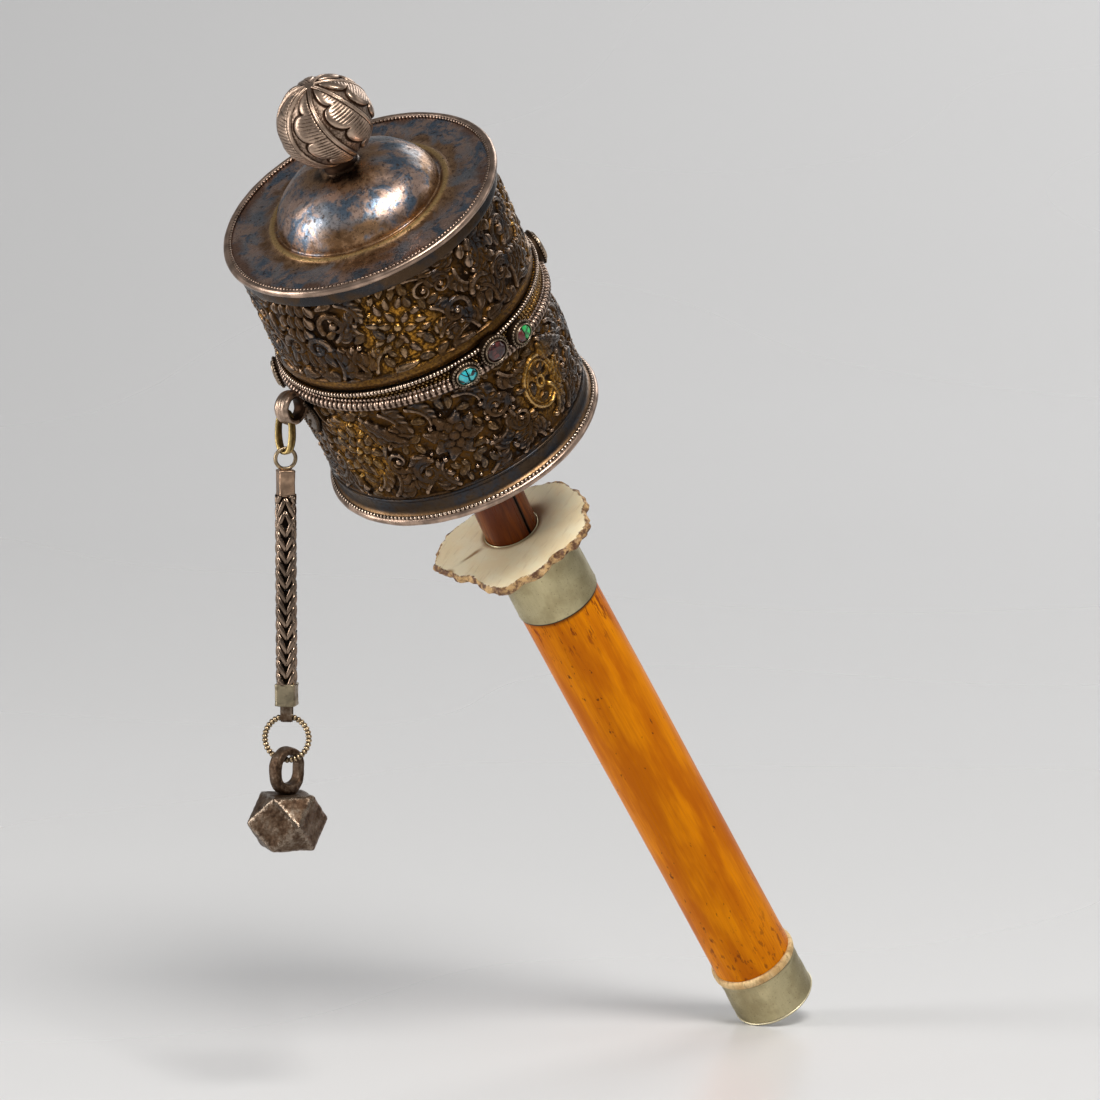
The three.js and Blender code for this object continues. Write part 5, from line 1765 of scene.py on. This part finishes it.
def make_weight():
    """Cube of iron with its corners cut back, its edges rubbed round, and its forged eye."""
    half, rise, power = 7.2, 6.6, 36
    direction, faces = cube_mesh(84)
    scaled = np.abs(direction) / (half, half, rise)
    terms = np.concatenate([scaled, scaled.sum(1, keepdims=True) / 2], 1)
    reach = (terms**power).sum(1) ** (-1 / power)
    ordered = np.sort(terms, 1)
    edge = smoothstep(0.80, 1.0, ordered[:, -2] / ordered[:, -1])
    points = direction * reach[:, None]
    dent = 0.10 * ripple(points, 5, 181) + 0.05 * ripple(points, 1.8, 182) - 0.05 * edge
    points = points * (1 + dent / reach)[:, None]
    body = Shape(points, faces, edge=edge).moved(turn_z(63.5), (0, 0, WEIGHT_Z))
    put(CHAIN, "weight", "weight_body", body, IRON, "iron", "weight")

    # Forged eye: a broad band, thicker at its feet.
    path, angle = upright_path(3.6, 96, WEIGHT_EYE_Z, stretch=1.9)
    size = 1.0 + 0.06 * np.cos(angle - 2.6) + 0.50 * np.maximum(0, -np.sin(angle)) ** 3
    eye = upright(path, rounded_box(1.9, 3.2, 3.2, 28), size, 0)
    eye.marked(edge=0.5 * smoothstep(1.2, 1.8, np.abs(eye.points[:, 1])))
    eye.points += 0.10 * wobble(eye.points, 3.2, 185)
    put(CHAIN, "weight", "weight_eye_forged", eye.moved(turn_z(44)), IRON, "iron", "weight_eye")


make_weight()


# ---- Pieces that keep their CAD shape -----------------------------------------------------------

IRON_INSIDE = paint_hidden("spindle_iron", (0.06, 0.045, 0.035), (0.16, 0.12, 0.1), 1.5, 0.45, 0.9)
DARK_SLEEVE = paint_hidden("sleeve_dark", (0.02, 0.013, 0.008), (0.06, 0.04, 0.025), 2.0, 0.5, 0.9)
BUSH_BRASS = paint_hidden("bush_brass", (0.3, 0.2, 0.08), (0.45, 0.32, 0.14), 2.0, 0.35, 0.95)
CORE_WOOD = paint_hidden("core_wood", (0.45, 0.28, 0.12), (0.66, 0.48, 0.25), 3.0, 0.5)
PAPER = paint_hidden("wound_paper", (0.55, 0.43, 0.25), (0.72, 0.62, 0.42), 0.6, 0.8)
COTTON = paint_hidden("yellow_cotton", (0.5, 0.3, 0.05), (0.62, 0.4, 0.08), 0.4, 0.85)

for material, *nodes in [
    (IRON_INSIDE, "spindle"),
    (DARK_SLEEVE, "joint_sleeve"),
    (BUSH_BRASS, "lower_bush", "upper_bush"),
    (CORE_WOOD, "scroll_core", "end_plug", "spindle_plug"),
    (PAPER, "paper_scroll"),
    (COTTON, "scroll_wrap"),
]:
    for node in nodes:
        slots = frame["nodes"][node].data.materials
        slots.clear()
        slots.append(material)


# ---- Floor, backdrop and light ------------------------------------------------------------------


FLOOR_FLAT, FLOOR_BEND, BACKDROP_TOP = 0.9, 1.6, 5.0  # metres behind the wheel, and above it
FLOOR_NEAR, FLOOR_HALF = 3.5, 4.5
LIGHTS_AIM = np.array([-0.06, 0.0, 0.06])  # middle of the wheel, in metres


def make_stage():
    """A sheet of paper that runs back along the view, then sweeps up into a backdrop."""
    low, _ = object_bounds()
    away = -unit([*VIEW_BACK[:2], 0])[:2]
    side = np.array([-away[1], away[0]])
    profile = [(-FLOOR_NEAR, 0), (FLOOR_FLAT, 0)]
    for t in np.linspace(0.05, math.pi / 2, 24):
        profile.append((FLOOR_FLAT + FLOOR_BEND * math.sin(t), FLOOR_BEND * (1 - math.cos(t))))
    profile.append((FLOOR_FLAT + FLOOR_BEND, BACKDROP_TOP))
    points = [(*(away * distance + side * across), low.z + z)
              for distance, z in profile for across in (-FLOOR_HALF, FLOOR_HALF)]
    faces = [(i, i + 1, i + 3, i + 2) for i in range(0, len(points) - 2, 2)]
    mesh = bpy.data.meshes.new("studio_floor")
    mesh.from_pydata(points, [], faces)
    mesh.polygons.foreach_set("use_smooth", np.ones(len(faces), bool))
    p = Paint("floor_paper", 0.0, IOR=1.45)
    grain = p.noise(p.cad_place(), 400.0, 1)
    tone = p.over((0.640, 0.636, 0.634), (grain, 0.3, 0.7, (0.650, 0.646, 0.644)))
    mesh.materials.append(p.finish(tone, p.span(grain, 0.3, 0.7, 0.26, 0.30)))
    floor = bpy.data.objects.new("studio_floor", mesh)
    bpy.context.scene.collection.objects.link(floor)


def softbox(name, towards, far, wide, tall, power, colour=(1, 1, 1), behind=0.0):
    """An area light set in a direction along the view's right, up and back. It faces the wheel,
    or a point behind the wheel."""
    axes = np.stack([VIEW_RIGHT, VIEW_UP, VIEW_BACK], 1)
    place = LIGHTS_AIM + far * (axes @ unit(towards))
    target = LIGHTS_AIM - behind * unit([*VIEW_BACK[:2], 0])
    data = bpy.data.lights.new(name, "AREA")
    data.shape = "RECTANGLE"
    data.size, data.size_y = wide, tall
    data.energy = power
    data.color = colour
    light = bpy.data.objects.new(name, data)
    light.location = place
    light.rotation_mode = "QUATERNION"
    light.rotation_quaternion = Vector(target - place).to_track_quat("-Z", "Y")
    bpy.context.scene.collection.objects.link(light)


def make_light():
    softbox("key", (0.15, 0.66, 0.73), 1.5, 0.5, 0.5, 22, (1.0, 0.985, 0.955))
    softbox("left", (-0.95, 0.22, 0.22), 1.3, 0.45, 0.8, 11)
    softbox("right", (0.86, 0.46, -0.10), 1.4, 0.45, 0.9, 1.6, (1.0, 0.99, 0.97))
    softbox("back", (0.36, 0.58, -0.60), 2.0, 1.0, 1.0, 13, behind=0.9)
    world = bpy.data.worlds.new("studio")
    bpy.context.scene.world = world
    world.use_nodes = True
    background = world.node_tree.nodes["Background"]
    background.inputs["Color"].default_value = (0.80, 0.81, 0.83, 1)
    background.inputs["Strength"].default_value = 0.30


make_stage()
make_light()
bpy.context.scene.view_settings.view_transform = "Standard"
